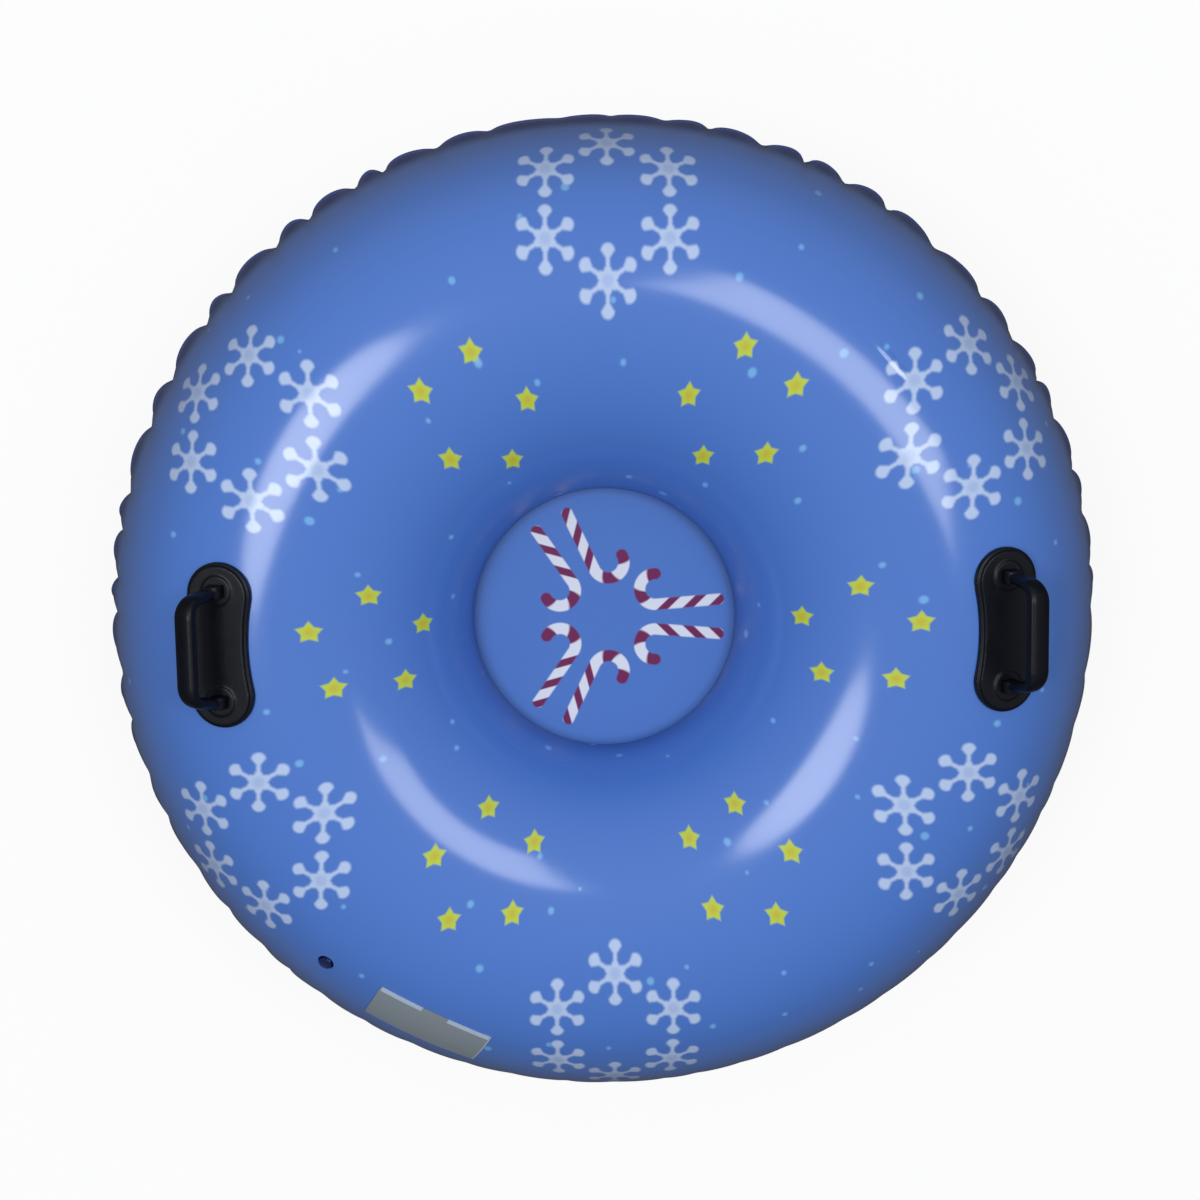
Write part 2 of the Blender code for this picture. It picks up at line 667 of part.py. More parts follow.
def main():
    clear_scene()
    top_skin = add_object("top_skin", skin_shell(top_angles()), PRINTED_BLUE)
    bottom_skin = add_object("bottom_skin", skin_shell(bottom_angles()), UNDERSIDE_BLUE)
    outset_skin = as_cutter(add_object("skin_outset", closed_tube(CLEARANCE)))
    cavity = as_cutter(add_object("skin_cavity", closed_tube(-SKIN_THICKNESS - CLEARANCE)))
    pieces = [top_skin, bottom_skin, make_outer_weld(), make_inner_weld(),
              make_seat_sheet("seat_top_sheet", 1, PRINTED_BLUE),
              make_seat_sheet("seat_bottom_sheet", -1, UNDERSIDE_BLUE),
              make_patch(outset_skin)]

    for side, azimuth, inset, lean in (
            ("left", LEFT_HANDLE_AZIMUTH, LEFT_HANDLE_INSET, LEFT_GRIP_LEAN),
            ("right", RIGHT_HANDLE_AZIMUTH, RIGHT_HANDLE_INSET, RIGHT_GRIP_LEAN)):
        frame = skin_frame(azimuth, inset_angle(inset))
        pieces.append(make_handle_base(f"{side}_handle_base", frame, outset_skin))
        pieces.append(make_grip(f"{side}_grip", frame, lean))

    valve = skin_frame(VALVE_AZIMUTH, inset_angle(VALVE_INSET))
    cut_valve_hole(top_skin, valve)
    pieces += [make_valve_flange(valve, cavity), make_valve_stem(valve),
               make_valve_lid(valve), make_valve_flap(valve)]

    tube = bpy.data.objects.new("snow_tube", None)
    bpy.context.scene.collection.objects.link(tube)
    cutters = [item for item in bpy.data.objects if item.hide_render]
    parent_to(pieces + cutters, tube)


main()
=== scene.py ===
import contextlib
import math

import bmesh
import bpy
from bpy.props import FloatProperty, FloatVectorProperty, IntProperty, PointerProperty
from mathutils import Matrix, Quaternion, Vector, noise


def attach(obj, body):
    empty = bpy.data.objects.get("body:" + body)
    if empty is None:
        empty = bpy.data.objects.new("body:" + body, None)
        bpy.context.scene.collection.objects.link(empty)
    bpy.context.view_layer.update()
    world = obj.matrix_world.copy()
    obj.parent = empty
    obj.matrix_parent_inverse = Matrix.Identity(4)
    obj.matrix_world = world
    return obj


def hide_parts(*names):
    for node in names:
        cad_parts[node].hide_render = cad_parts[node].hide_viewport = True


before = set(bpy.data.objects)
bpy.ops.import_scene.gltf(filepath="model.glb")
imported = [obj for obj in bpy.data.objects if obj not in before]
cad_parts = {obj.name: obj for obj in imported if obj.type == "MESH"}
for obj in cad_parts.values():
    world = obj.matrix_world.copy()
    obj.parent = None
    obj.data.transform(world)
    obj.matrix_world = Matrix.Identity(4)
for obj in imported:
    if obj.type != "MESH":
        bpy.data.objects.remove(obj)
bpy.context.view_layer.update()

bl_info = {
    "name": "Snow tube",
    "version": (1, 0, 0),
    "blender": (4, 5, 0),
    "location": "3D View > Sidebar > Snow tube",
    "description": "Dresses a packed snow tube with vinyl skins, a winter print and handles",
    "category": "Object",
}


def srgb(red, green, blue):
    """Linear colour from the 0-255 values that a picture shows."""
    def channel(value):
        share = value / 255
        return share / 12.92 if share <= 0.04045 else ((share + 0.055) / 1.055) ** 2.4
    return (channel(red), channel(green), channel(blue), 1.0)


def length_setting(name, value, description):
    """A size in metres."""
    return FloatProperty(name=name, description=description, default=value, min=0.0,
                         unit='LENGTH', precision=5)


def angle_setting(name, degrees, description):
    """An angle, written in degrees and kept in radians."""
    return FloatProperty(name=name, description=description,
                         default=math.radians(degrees), unit='ROTATION')


def number_setting(name, value, description):
    """A plain number."""
    return FloatProperty(name=name, description=description, default=value)


def colour_setting(name, colour, description):
    """A linear colour with alpha."""
    return FloatVectorProperty(name=name, description=description, default=colour,
                               subtype='COLOR', size=4, min=0.0, max=1.0)


class TubeShape(bpy.types.PropertyGroup):
    """Inflated section, the puckers at its outer weld and the seat in its middle."""
    ring_radius: length_setting("Ring radius", 0.3004, "Middle of the inflated section")
    half_width: length_setting("Half width", 0.1730, "Half of the section's width")
    half_height: length_setting("Half height", 0.1378, "Half of the section's height")
    skin: length_setting("Skin", 0.0009, "Thickness of the vinyl")
    clearance: length_setting("Clearance", 0.0003, "Gap between pieces that touch")
    floor_flat: angle_setting("Floor flat", 5, "Half of the section's angle pressed flat")
    lobes: IntProperty(name="Lobes", description="Scallops round the outer weld", default=60)
    pucker_depth: length_setting("Pucker depth", 0.0084, "Height of a scallop")
    pucker_end: angle_setting("Pucker end", 30, "Section angle where the puckers die out")
    fold_depth: length_setting("Fold depth", 0.0026, "Crease that runs in from each pucker")
    lobe_roundness: number_setting("Lobe roundness", 0.95, "Lower is rounder")
    cusp_softness: number_setting("Cusp softness", 0.012, "Roundness of the dips between")
    weld_proud: length_setting("Weld proud", 0.0026, "Outer weld beyond the skins")
    weld_inside: length_setting("Weld inside", 0.005, "Outer weld inside the skins")
    inner_lip: length_setting("Inner lip", 0.0012, "Inner weld inside the skins' edge")
    inner_inside: length_setting("Inner inside", 0.006, "Inner weld under the skins")
    sheet: length_setting("Seat sheet", 0.0009, "Thickness of each sheet of the seat")
    steps_round: IntProperty(name="Steps round", description="Faces round the tube",
                             default=960)


class HandleShape(bpy.types.PropertyGroup):
    """Moulded base and the grip loop on it."""
    left_azimuth: angle_setting("Left azimuth", 180, "Direction of the left handle")
    right_azimuth: angle_setting("Right azimuth", 1.5, "Direction of the right handle")
    left_inset: length_setting("Left inset", 0.1236, "In from the widest line")
    right_inset: length_setting("Right inset", 0.1089, "In from the widest line")
    left_lean: angle_setting("Left lean", 24, "Grip's lean off the skin's normal")
    right_lean: angle_setting("Right lean", 12, "Grip's lean off the skin's normal")
    length: length_setting("Base length", 0.153, "Length of the base")
    end_radius: length_setting("End radius", 0.0305, "Radius of the base's round ends")
    waist: length_setting("Waist", 0.0045, "How far the base's sides draw in")
    thickness: length_setting("Thickness", 0.0055, "Thickness of the base's body")
    rim_width: length_setting("Rim width", 0.003, "Thin welded rim round the base")
    rim_thickness: length_setting("Rim thickness", 0.0026, "Thickness of that rim")
    boss_wall: length_setting("Boss wall", 0.0032, "Wall round each leg's saddle")
    boss_height: length_setting("Boss height", 0.0015, "Boss above the base")
    saddle_depth: length_setting("Saddle depth", 0.002, "How deep the barrels sit")
    leg_inset: length_setting("Leg inset", 0.0255, "Leg in from the base's end")
    leg_thickness: length_setting("Leg thickness", 0.009, "Thickness of a leg")
    leg_draw_in: length_setting("Leg draw in", 0.0035, "How far a leg leans inwards")
    barrel: length_setting("Barrel", 0.008, "Radius of the round root of a leg")
    barrel_shoulder: length_setting("Barrel shoulder", 0.00125, "Barrel beyond the leg")
    barrel_step: length_setting("Barrel step", 0.00175, "Barrel proud of the leg")
    rise: length_setting("Rise", 0.0345, "Height of the bar over the hinge")
    corner: length_setting("Corner", 0.015, "Radius of the loop's corners")
    bar_width: length_setting("Bar width", 0.022, "Width of the bar")
    bar_thickness: length_setting("Bar thickness", 0.012, "Thickness of the bar")
    squareness: number_setting("Squareness", 0.7, "Lower makes the loop squarer")
    voxel: length_setting("Voxel", 0.0008, "Grain of the moulded surface")


class PatchShape(bpy.types.PropertyGroup):
    """Blank patch on the outer slope."""
    azimuth: angle_setting("Azimuth", -114.5, "Direction of the patch")
    inset: length_setting("Inset", 0.054, "In from the widest line")
    length: length_setting("Length", 0.118, "Length round the tube")
    width: length_setting("Width", 0.055, "Width down the slope")
    thickness: length_setting("Thickness", 0.0008, "Thickness of the patch")
    turn: angle_setting("Turn", -3.5, "How askew the patch was stuck on")


class ValveShape(bpy.types.PropertyGroup):
    """Pinch valve, pushed in."""
    azimuth: angle_setting("Azimuth", -130.5, "Direction of the valve")
    inset: length_setting("Inset", 0.0612, "In from the widest line")
    room: length_setting("Room", 0.0005, "Sleeve round the lug")
    bore: length_setting("Bore", 0.0036, "Radius of the stem's bore")
    wall: length_setting("Wall", 0.0014, "Wall of the stem")
    height: length_setting("Height", 0.0006, "Stem above the skin")
    length: length_setting("Length", 0.0136, "Length of the stem")
    collar: length_setting("Collar", 0.0015, "Thickness of the skirt and the collar")
    lid_radius: length_setting("Lid radius", 0.0064, "Radius of the lid")
    lid_thickness: length_setting("Lid thickness", 0.0014, "Thickness of the lid")
    knuckle: length_setting("Knuckle", 0.004, "Width of the lid's knuckle")
    plug_taper: length_setting("Plug taper", 0.0007, "Draw-in of the plug's tip")
    plug_length: length_setting("Plug length", 0.0026, "Length of the plug")
    ease: length_setting("Ease", 0.0002, "Rounding of the valve's edges")


class Colours(bpy.types.PropertyGroup):
    """Colours of the vinyl, the print and the mouldings."""
    blue: colour_setting("Blue", srgb(74, 119, 202), "Printed skins")
    underside: colour_setting("Underside", srgb(62, 100, 180), "Plain lower skins")
    # Painted shade: the grey that the printed skin is tinted towards near the outer weld
    rim: colour_setting("Rim", srgb(101, 110, 135), "Dulled vinyl towards the outer weld")
    # Painted shade: the darker blue beside the inner weld, on the skin and at the seat's edge
    painted_seam_shade: colour_setting("Pressed", srgb(52, 92, 162), "Vinyl beside the inner weld")
    seat: colour_setting("Seat", srgb(66, 113, 192), "Printed seat")
    # The outer weld's own dark colour, also used as painted shade in a band of the skin beside
    # that weld
    weld: colour_setting("Weld", srgb(28, 42, 98), "Pressed outer weld")
    seat_weld: colour_setting("Seat weld", srgb(62, 102, 170), "Pressed weld round the seat")
    flake: colour_setting("Flake", srgb(188, 208, 240), "Snowflakes")
    star: colour_setting("Star", srgb(184, 203, 66), "Stars")
    star_heart: colour_setting("Star heart", srgb(190, 180, 60), "Middle of each star")
    dot: colour_setting("Dot", srgb(118, 180, 236), "Small dots of snow")
    cane_red: colour_setting("Cane red", srgb(103, 2, 78), "Stripes of the canes")
    cane_white: colour_setting("Cane white", srgb(210, 216, 232), "Body of the canes")
    patch: colour_setting("Patch", srgb(132, 141, 146), "Blank patch")
    lip: colour_setting("Lip", srgb(172, 190, 212), "Pale strips of the patch")
    rubber: colour_setting("Rubber", srgb(6, 10, 19), "Handles")
    worn: colour_setting("Worn rubber", srgb(30, 31, 38), "Worn spots of the handles")
    # Painted shade: the valve's dark navy stands in for the shade of its recess
    valve: colour_setting("Valve", srgb(20, 34, 84), "Valve")
    floor: colour_setting("Floor", srgb(236, 238, 242), "Pale floor")
    bounce: colour_setting("Bounce", srgb(70, 72, 78), "Light that the floor sends back")


class Studio(bpy.types.PropertyGroup):
    """Two soft lights far off, one round and one with corners, and a dim sky."""
    lamp_distance: length_setting("Lamp distance", 6.0, "From the tube to each lamp")
    west_size: length_setting("West size", 2.5, "Width of the north-west lamp")
    east_size: length_setting("East size", 2.9, "Width of the north-east lamp")
    west_depth: length_setting("West depth", 2.1, "Depth of the north-west lamp")
    east_depth: length_setting("East depth", 1.65, "Depth of the north-east lamp")
    lamp_glow: number_setting("Lamp glow", 19.4, "Power of a lamp per square metre of its box")
    sky: number_setting("Sky", 0.70, "Light from overhead")
    horizon: number_setting("Horizon", 0.05, "Light from the side")
    north: number_setting("North", 0.46, "Extra light from the far side")


class SnowTube(bpy.types.PropertyGroup):
    """Everything that a user would change."""
    tube: PointerProperty(type=TubeShape)
    handle: PointerProperty(type=HandleShape)
    patch: PointerProperty(type=PatchShape)
    valve: PointerProperty(type=ValveShape)
    colours: PointerProperty(type=Colours)
    studio: PointerProperty(type=Studio)


# Shader maths

class Field:
    """A number or colour that changes over a surface, for writing nodes as sums."""

    def __init__(self, tree, socket=None):
        self.tree = tree
        self.socket = socket

    def node(self, kind, settings, sockets, output=0):
        """Any node: its settings come first, then values or links for its sockets."""
        made = self.tree.nodes.new("ShaderNode" + kind)
        for name, setting in settings.items():
            setattr(made, name, setting)
        for place, value in sockets.items():
            if isinstance(value, Field):
                self.tree.links.new(value.socket, made.inputs[place])
            elif isinstance(value, (int, float, str, bool)):
                made.inputs[place].default_value = value
            else:
                made.inputs[place].default_value = tuple(value)
        return Field(self.tree, made.outputs[output])

    def maths(self, operation, *others):
        """A Math node with this number first."""
        values = dict(enumerate((self,) + others))
        return self.node("Math", {"operation": operation}, values)

    def reflected(self, operation, first):
        """A Math node with this number second."""
        return self.node("Math", {"operation": operation}, {0: first, 1: self})

    def __add__(self, other):
        return self.maths('ADD', other)

    __radd__ = __add__

    def __mul__(self, other):
        return self.maths('MULTIPLY', other)

    __rmul__ = __mul__

    def __sub__(self, other):
        return self.maths('SUBTRACT', other)

    def __rsub__(self, other):
        return self.reflected('SUBTRACT', other)

    def __truediv__(self, other):
        return self.maths('DIVIDE', other)

    def __rtruediv__(self, other):
        return self.reflected('DIVIDE', other)

    def __lt__(self, other):
        return self.maths('LESS_THAN', other)

    def __abs__(self):
        return self.maths('ABSOLUTE')

    def least(self, other):
        """The smaller of two numbers, which joins two shapes."""
        return self.maths('MINIMUM', other)

    def most(self, other):
        """The larger of two numbers, which keeps what two shapes share."""
        return self.maths('MAXIMUM', other)

    def between(self, first, second):
        """The first number where this mask is 0, and the second where it is 1."""
        return self.node("Mix", {"data_type": 'FLOAT'}, {0: self, 2: first, 3: second})

    def soften(self, width):
        """1 inside a shape whose outside distance this is, with a soft edge."""
        return self.node("MapRange", {"interpolation_type": 'SMOOTHSTEP'},
                         {0: self, 1: -width, 2: width, 3: 1.0, 4: 0.0})

    def tint(self, first, second):
        """The first colour where this mask is 0, and the second where it is 1."""
        return self.node("Mix", {"data_type": 'RGBA'}, {0: self, 6: first, 7: second}, 2)

    def axes(self):
        """The three numbers of a place."""
        return [self.node("SeparateXYZ", {}, {0: self}, i) for i in range(3)]


def hypot(x, y):
    """Length of a flat step."""
    return (x * x + y * y).maths('SQRT')


class Finish:
    """One material: its shader, and the place on the surface that its nodes read."""

    def __init__(self, name, colour, roughness, **constants):
        self.material = bpy.data.materials.new(name)
        self.material.use_nodes = True
        self.tree = self.material.node_tree
        self.shader = self.tree.nodes["Principled BSDF"]
        self.shader.inputs["Base Color"].default_value = tuple(colour)
        self.shader.inputs["Roughness"].default_value = roughness
        for socket, value in constants.items():
            self.shader.inputs[socket.replace("_", " ")].default_value = value
        self.start = Field(self.tree)
        self.place = self.start.node("TexCoord", {}, {}, 3)

    def noise(self, scale, detail=2.0):
        """Cloudy number from 0 to 1 over the piece."""
        return self.start.node("TexNoise", {}, {"Vector": self.place, "Scale": scale,
                                                "Detail": detail})

    def paint(self, tones, socket="Base Color"):
        """Link a number or colour to the shader."""
        self.tree.links.new(tones.socket, self.shader.inputs[socket])

    def emboss(self, height, distance):
        """Raise the surface's grain by a height from 0 to 1 over a distance."""
        bumped = self.start.node("Bump", {}, {"Strength": 1.0, "Distance": distance,
                                              "Height": height})
        self.paint(bumped, "Normal")


# Hand tools

def fresh():
    """Deselect everything, because the frame's pieces come in selected."""
    bpy.ops.object.select_all(action='DESELECT')


def take_all():
    """Select the whole mesh, in edit mode."""
    bpy.ops.mesh.select_all(action='SELECT')


def blank(name):
    """An empty mesh, ready to be drawn in."""
    fresh()
    bpy.ops.object.add(type='MESH')
    return named(name)


def named(name):
    """Name the piece that was just added."""
    piece = bpy.context.object
    piece.name = name
    piece.data.name = name
    return piece


def choose(piece):
    """Select one piece alone and make it active."""
    fresh()
    piece.select_set(True)
    bpy.context.view_layer.objects.active = piece


@contextlib.contextmanager
def editing(piece):
    """Edit mode with all of the piece selected."""
    choose(piece)
    bpy.ops.object.mode_set(mode='EDIT')
    take_all()
    yield
    bpy.ops.object.mode_set(mode='OBJECT')


def pick(piece, test):
    """Select the vertices whose place passes a test, in edit mode."""
    bpy.ops.mesh.select_mode(type='VERT')
    bpy.ops.mesh.select_all(action='DESELECT')
    bm = bmesh.from_edit_mesh(piece.data)
    for vert in bm.verts:
        if test(vert.co):
            vert.select_set(True)
    bm.select_flush_mode()
    bmesh.update_edit_mesh(piece.data)


def settle(piece, place=None):
    """Move a piece and put its place into its mesh, so its object sits at the origin."""
    if place is not None:
        piece.matrix_world = place
    choose(piece)
    bpy.ops.object.transform_apply(location=True, rotation=True, scale=True)
    return piece


def modify(piece, kind, **settings):
    """Add a modifier, set it and apply it."""
    choose(piece)
    added = piece.modifiers.new(kind.title(), kind)
    for name, value in settings.items():
        setattr(added, name, value)
    bpy.ops.object.modifier_apply(modifier=added.name)


def ease_edges(piece, width, segments=2):
    """Round a piece's sharp edges."""
    modify(piece, 'BEVEL', width=width, segments=segments, limit_method='ANGLE',
           angle_limit=math.radians(50))


def discard(*pieces):
    """Throw helper shapes away."""
    for piece in pieces:
        bpy.data.objects.remove(piece, do_unlink=True)


def cut(piece, *tools, operation='DIFFERENCE'):
    """Cut tools out of a piece, or weld them on, and throw the tools away."""
    for tool in tools:
        modify(piece, 'BOOLEAN', operation=operation, solver='MANIFOLD', object=tool)
    discard(*tools)


def join(piece, *others):
    """Put other pieces into this one's mesh."""
    choose(piece)
    for other in others:
        other.select_set(True)
    bpy.ops.object.join()
    return piece


def push(piece, reach, height):
    """Move a surface along its normals by a height at each place, out and then in."""
    for side in (1, -1):
        group = piece.vertex_groups.new(name="push")
        for vert in piece.data.vertices:
            weight = side * height(vert.co) / reach
            if weight > 0:
                group.add([vert.index], min(weight, 1.0), 'REPLACE')
        modify(piece, 'DISPLACE', strength=side * reach, mid_level=0.0, vertex_group="push")
        piece.vertex_groups.clear()


def face_out(merge=0.000002):
    """Merge doubles and turn every face outwards, in edit mode."""
    take_all()
    bpy.ops.mesh.remove_doubles(threshold=merge)
    bpy.ops.mesh.normals_make_consistent(inside=False)


def trace(piece, points, closed=True):
    """Draw a line through points, vertex by vertex, in edit mode."""
    points = [Vector(point) for point in points]
    bpy.ops.mesh.select_mode(type='VERT')
    bpy.ops.mesh.select_all(action='DESELECT')
    bpy.ops.mesh.primitive_plane_add(size=0.001, location=points[0])
    bpy.ops.mesh.merge(type='CENTER')
    for here, there in zip(points, points[1:]):
        bpy.ops.mesh.extrude_region_move(
            TRANSFORM_OT_translate={"value": there - here})
    if closed:
        bm = bmesh.from_edit_mesh(piece.data)
        first = min(bm.verts, key=lambda vert: (vert.co - points[0]).length)
        first.select_set(True)
        bmesh.update_edit_mesh(piece.data)
        bpy.ops.mesh.edge_face_add()


def lathe(name, profile, steps):
    """Turn a profile of (radius, height) points round Z."""
    piece = blank(name)
    on_axis = profile[0][0] == 0 and profile[-1][0] == 0
    with editing(piece):
        trace(piece, [(radius, 0, height) for radius, height in profile], not on_axis)
        take_all()
        bpy.ops.mesh.spin(steps=steps, angle=math.tau, center=(0, 0, 0), axis=(0, 0, 1))
        face_out()
    return piece


def prism(name, outline, low, high):
    """Raise an outline into a block."""
    piece = blank(name)
    with editing(piece):
        trace(piece, [(x, y, low) for x, y in outline])
        take_all()
        bpy.ops.mesh.edge_face_add()
        bpy.ops.mesh.extrude_region_move(
            TRANSFORM_OT_translate={"value": (0, 0, high - low)})
        face_out()
    return piece


def arc(centre_x, centre_y, radius, start, end, steps):
    """Points along part of a circle."""
    return [(centre_x + radius * math.cos(start + (end - start) * i / steps),
             centre_y + radius * math.sin(start + (end - start) * i / steps))
            for i in range(steps + 1)]


def cylinder(name, radius, depth, place, vertices=64):
    """Round bar with its middle at a place and its length along that place's Z."""
    fresh()
    bpy.ops.mesh.primitive_cylinder_add(vertices=vertices, radius=radius, depth=depth)
    return settle(named(name), place)


def mark(piece, name, share):
    """Keep a number for each point of a piece, for its material to read."""
    layer = piece.data.attributes.new(name, 'FLOAT', 'POINT')
    layer.data.foreach_set("value", [share(vert.co) for vert in piece.data.vertices])


def coat(piece, used):
    """Give a piece its material and no other."""
    piece.data.materials.clear()
    piece.data.materials.append(used.material)


def finish(piece, body, used, node, sharp=40):
    """Smooth a piece, and give it its material, its body and the solid it stands for."""
    choose(piece)
    bpy.ops.object.shade_smooth_by_angle(angle=math.radians(sharp))
    coat(piece, used)
    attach(piece, body)
    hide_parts(node)


# The tube's section

# Uneven pitch of the scallops: waves round the tube, their reach and their start
LOBE_WANDERS = ((7, 0.020, 0.6), (13, 0.010, 2.0), (29, 0.010, 1.0))
# Where they are shallow: direction and spread in degrees, and the share of depth lost
CALM_SIDES = ((92, 20, 0.85), (45, 16, 0.25), (-15, 38, 0.5), (-85, 55, 0.6))
# Length of a fold: most of it in pucker ends, then a share of that and how far it varies
FOLD_REACH = 1.6
FOLD_SHARE = 0.62
FOLD_VARIES = 0.35
# Parts of a scallop's width: how far a fold strays, how thick it is, and how wide a dip is
FOLD_DRIFT = 0.25
FOLD_THICKNESS = 0.13
DIP_WIDTH = 0.24


def section_normal(tube, phi):
    """Direction out of the section at an angle from its outer side."""
    return Vector((math.cos(phi) / tube.half_width,
                   math.sin(phi) / tube.half_height)).normalized()


def middle_height(tube):
    """Height of the widest line over the floor."""
    return tube.half_height * math.cos(tube.floor_flat)


def section_point(tube, phi):
    """Radius and height of the section at an angle from its outer side."""
    return (tube.ring_radius + tube.half_width * math.cos(phi),
            middle_height(tube) + tube.half_height * math.sin(phi))


def inset_angle(tube, inset):
    """Section angle of a place that lies in from the widest line."""
    return math.acos(1 - inset / tube.half_width)


def skin_frame(tube, azimuth, phi):
    """Frame on the skin: X down the slope, Y round the tube, Z out of the skin."""
    normal = section_normal(tube, phi)
    radius, height = section_point(tube, phi)
    east, north = math.cos(azimuth), math.sin(azimuth)
    slope = Vector((normal.y * east, normal.y * north, -normal.x))
    out = Vector((normal.x * east, normal.x * north, normal.y))
    turn = Matrix((slope, Vector((-north, east, 0)), out)).transposed().to_4x4()
    return Matrix.Translation((radius * east, radius * north, height)) @ turn


def lobe_at(tube, azimuth):
    """Which scallop lies at a direction, counted in scallops of a little uneven pitch."""
    turn = azimuth
    settling_rounds = 10
    for _ in range(settling_rounds):
        turn = azimuth - sum(reach * math.sin(waves * turn + start)
                             for waves, reach, start in LOBE_WANDERS)
    return tube.lobes * turn / math.tau


def pucker_strength(azimuth):
    """Share of the full depth that the scallops have at a direction."""
    strength = 1.0
    for middle, spread, calm in CALM_SIDES:
        away = (math.degrees(azimuth) - middle + 180) % 360 - 180
        strength -= calm * math.exp(-(away / spread) ** 2)
    return strength


def pucker(tube, place):
    """Height of the scallops and folds at a place, in metres along the normal."""
    azimuth = math.atan2(place.y, place.x)
    radius = math.hypot(place.x, place.y)
    phi = abs(math.atan2((place.z - middle_height(tube)) / tube.half_height,
                         (radius - tube.ring_radius) / tube.half_width))
    reach = tube.pucker_end * FOLD_REACH
    if phi >= reach:
        return 0.0
    lobe = lobe_at(tube, azimuth)
    fade = max(0.0, 1 - phi / tube.pucker_end) ** 2
    wave = math.sin(math.pi * lobe) ** 2 + tube.cusp_softness
    height = 2 * wave ** (tube.lobe_roundness / 2) - 1
    strength = pucker_strength(azimuth)
    lift = tube.pucker_depth / 2 * height * fade * strength
    cusp = round(lobe)
    unevenness = noise.noise(Vector((cusp * 1.7, 3.1, 0)))
    end = reach * (FOLD_SHARE + FOLD_VARIES * unevenness)
    drift = FOLD_DRIFT * noise.noise(Vector((cusp * 2.3, 7.7, 0))) * phi / reach
    away = (lobe - cusp - drift) / FOLD_THICKNESS
    fold = max(0.0, 1 - phi / end) ** 1.5 * math.exp(-away * away)
    return lift - tube.fold_depth * fold * strength


def crease(tube, place):
    """1 in the dip between two scallops, fading to 0 along each of them."""
    azimuth = math.atan2(place.y, place.x)
    lobe = lobe_at(tube, azimuth)
    away = (lobe - round(lobe)) / DIP_WIDTH
    return math.exp(-away * away) * pucker_strength(azimuth)


# Materials

def vinyl_relief(used, strength):
    """Faint slackness of the skin and the fine grain of vinyl."""
    slack = used.noise(9.0, 1.0)
    grain = used.noise(420.0)
    return slack * strength + grain * 0.02


def star_edge(along, across, tip, notch, count):
    """Distance outside one half point of a star, from its folded place."""
    half = math.pi / count
    run = tip - notch * math.cos(half)
    rise = notch * math.sin(half)
    size = math.hypot(run, rise)
    return ((along - tip) * (rise / size)) + across * (run / size)


def folded(x, y, count):
    """Fold a place into one of the equal sectors round the middle, from +Y on."""
    step = math.tau / count
    turned = x.maths('ARCTAN2', y)
    sector = (turned / step).maths('ROUND') * step
    rest = turned - sector
    radius = hypot(x, y)
    return radius * rest.maths('COSINE'), radius * rest.maths('SINE'), sector


def nearest(x, y, centres):
    """Place measured from the nearest of a few centres."""
    first, *others = centres
    best_x, best_y = x - first[0], y - first[1]
    best = best_x * best_x + best_y * best_y
    for east, north in others:
        here_x, here_y = x - east, y - north
        far = here_x * here_x + here_y * here_y
        nearer = far < best
        best_x = nearer.between(best_x, here_x)
        best_y = nearer.between(best_y, here_y)
        best = best.least(far)
    return best_x, best_y


def ring_of(x, y, centres, radius, count):
    """Place measured from the nearest of the motifs that stand round each centre."""
    group_x, group_y = nearest(x, y, centres)
    sector = folded(group_x, group_y, count)[2]
    return group_x - sector.maths('SINE') * radius, group_y - sector.maths('COSINE') * radius


def polar(pairs):
    """Flat places from pairs of a radius and a direction in degrees."""
    return [(radius * math.cos(math.radians(degrees)), radius * math.sin(math.radians(degrees)))
            for radius, degrees in pairs]


# The flat artwork, where 1 is the crest of the tube: the middles of the rings of stars
# and snowflakes, and the radius of a ring
STAR_RINGS = polar(((0.862, 118.8), (0.880, 60.5), (0.797, 180.7), (0.844, 1.0),
                    (0.876, 241.8), (0.884, 300.6)))
STAR_RING_RADIUS = 0.1692
FLAKE_RINGS = polar(((1.332, 89.6), (1.269, 148.4), (1.317, 31.7), (1.271, 210.9),
                     (1.301, 330.7), (1.302, 271.1)))
FLAKE_RING_RADIUS = 0.2152
# How the artwork lies on the section: the crest's share of half a turn, the share from
# there to artwork place 0, and how much more it stretches outwards
PRINT_CREST = 0.47
PRINT_SPAN = 0.6548
PRINT_STRETCH = 0.0515
# Cells of specks for each unit of the artwork
SPECK_CELLS = 3.6
# Ends of the ridge in the skin beside the north-east snowflakes, in metres
WRINKLE = ((0.2440, 0.2680), (0.2690, 0.2404))
WRINKLE_WIDTH = 0.005


def wrinkle(used):
    """Height of a soft, short ridge in the skin."""
    x, y, _ = used.place.axes()
    start, end = Vector(WRINKLE[0]), Vector(WRINKLE[1])
    length = (end - start).length
    run = (end - start) / length
    along = (x - start.x) * run.x + (y - start.y) * run.y
    across = (y - start.y) * run.x - (x - start.x) * run.y
    share = (abs(along - length / 2) - length / 2).soften(length / 4)
    return (abs(across) - WRINKLE_WIDTH / 2).soften(WRINKLE_WIDTH / 2) * share


def section_turn(used, tube):
    """Angle round the section: 0 at the outer weld and half a turn at the inner one."""
    x, y, z = used.place.axes()
    return ((z - middle_height(tube)) / tube.half_height).maths(
        'ARCTAN2', (hypot(x, y) - tube.ring_radius) / tube.half_width)


def greying(turn, reach):
    """1 at a weld, fading to 0 at a section angle away from it."""
    return turn.node("MapRange", {"interpolation_type": 'SMOOTHSTEP'},
                     {0: turn, 1: 0.0, 2: reach, 3: 1.0, 4: 0.0})


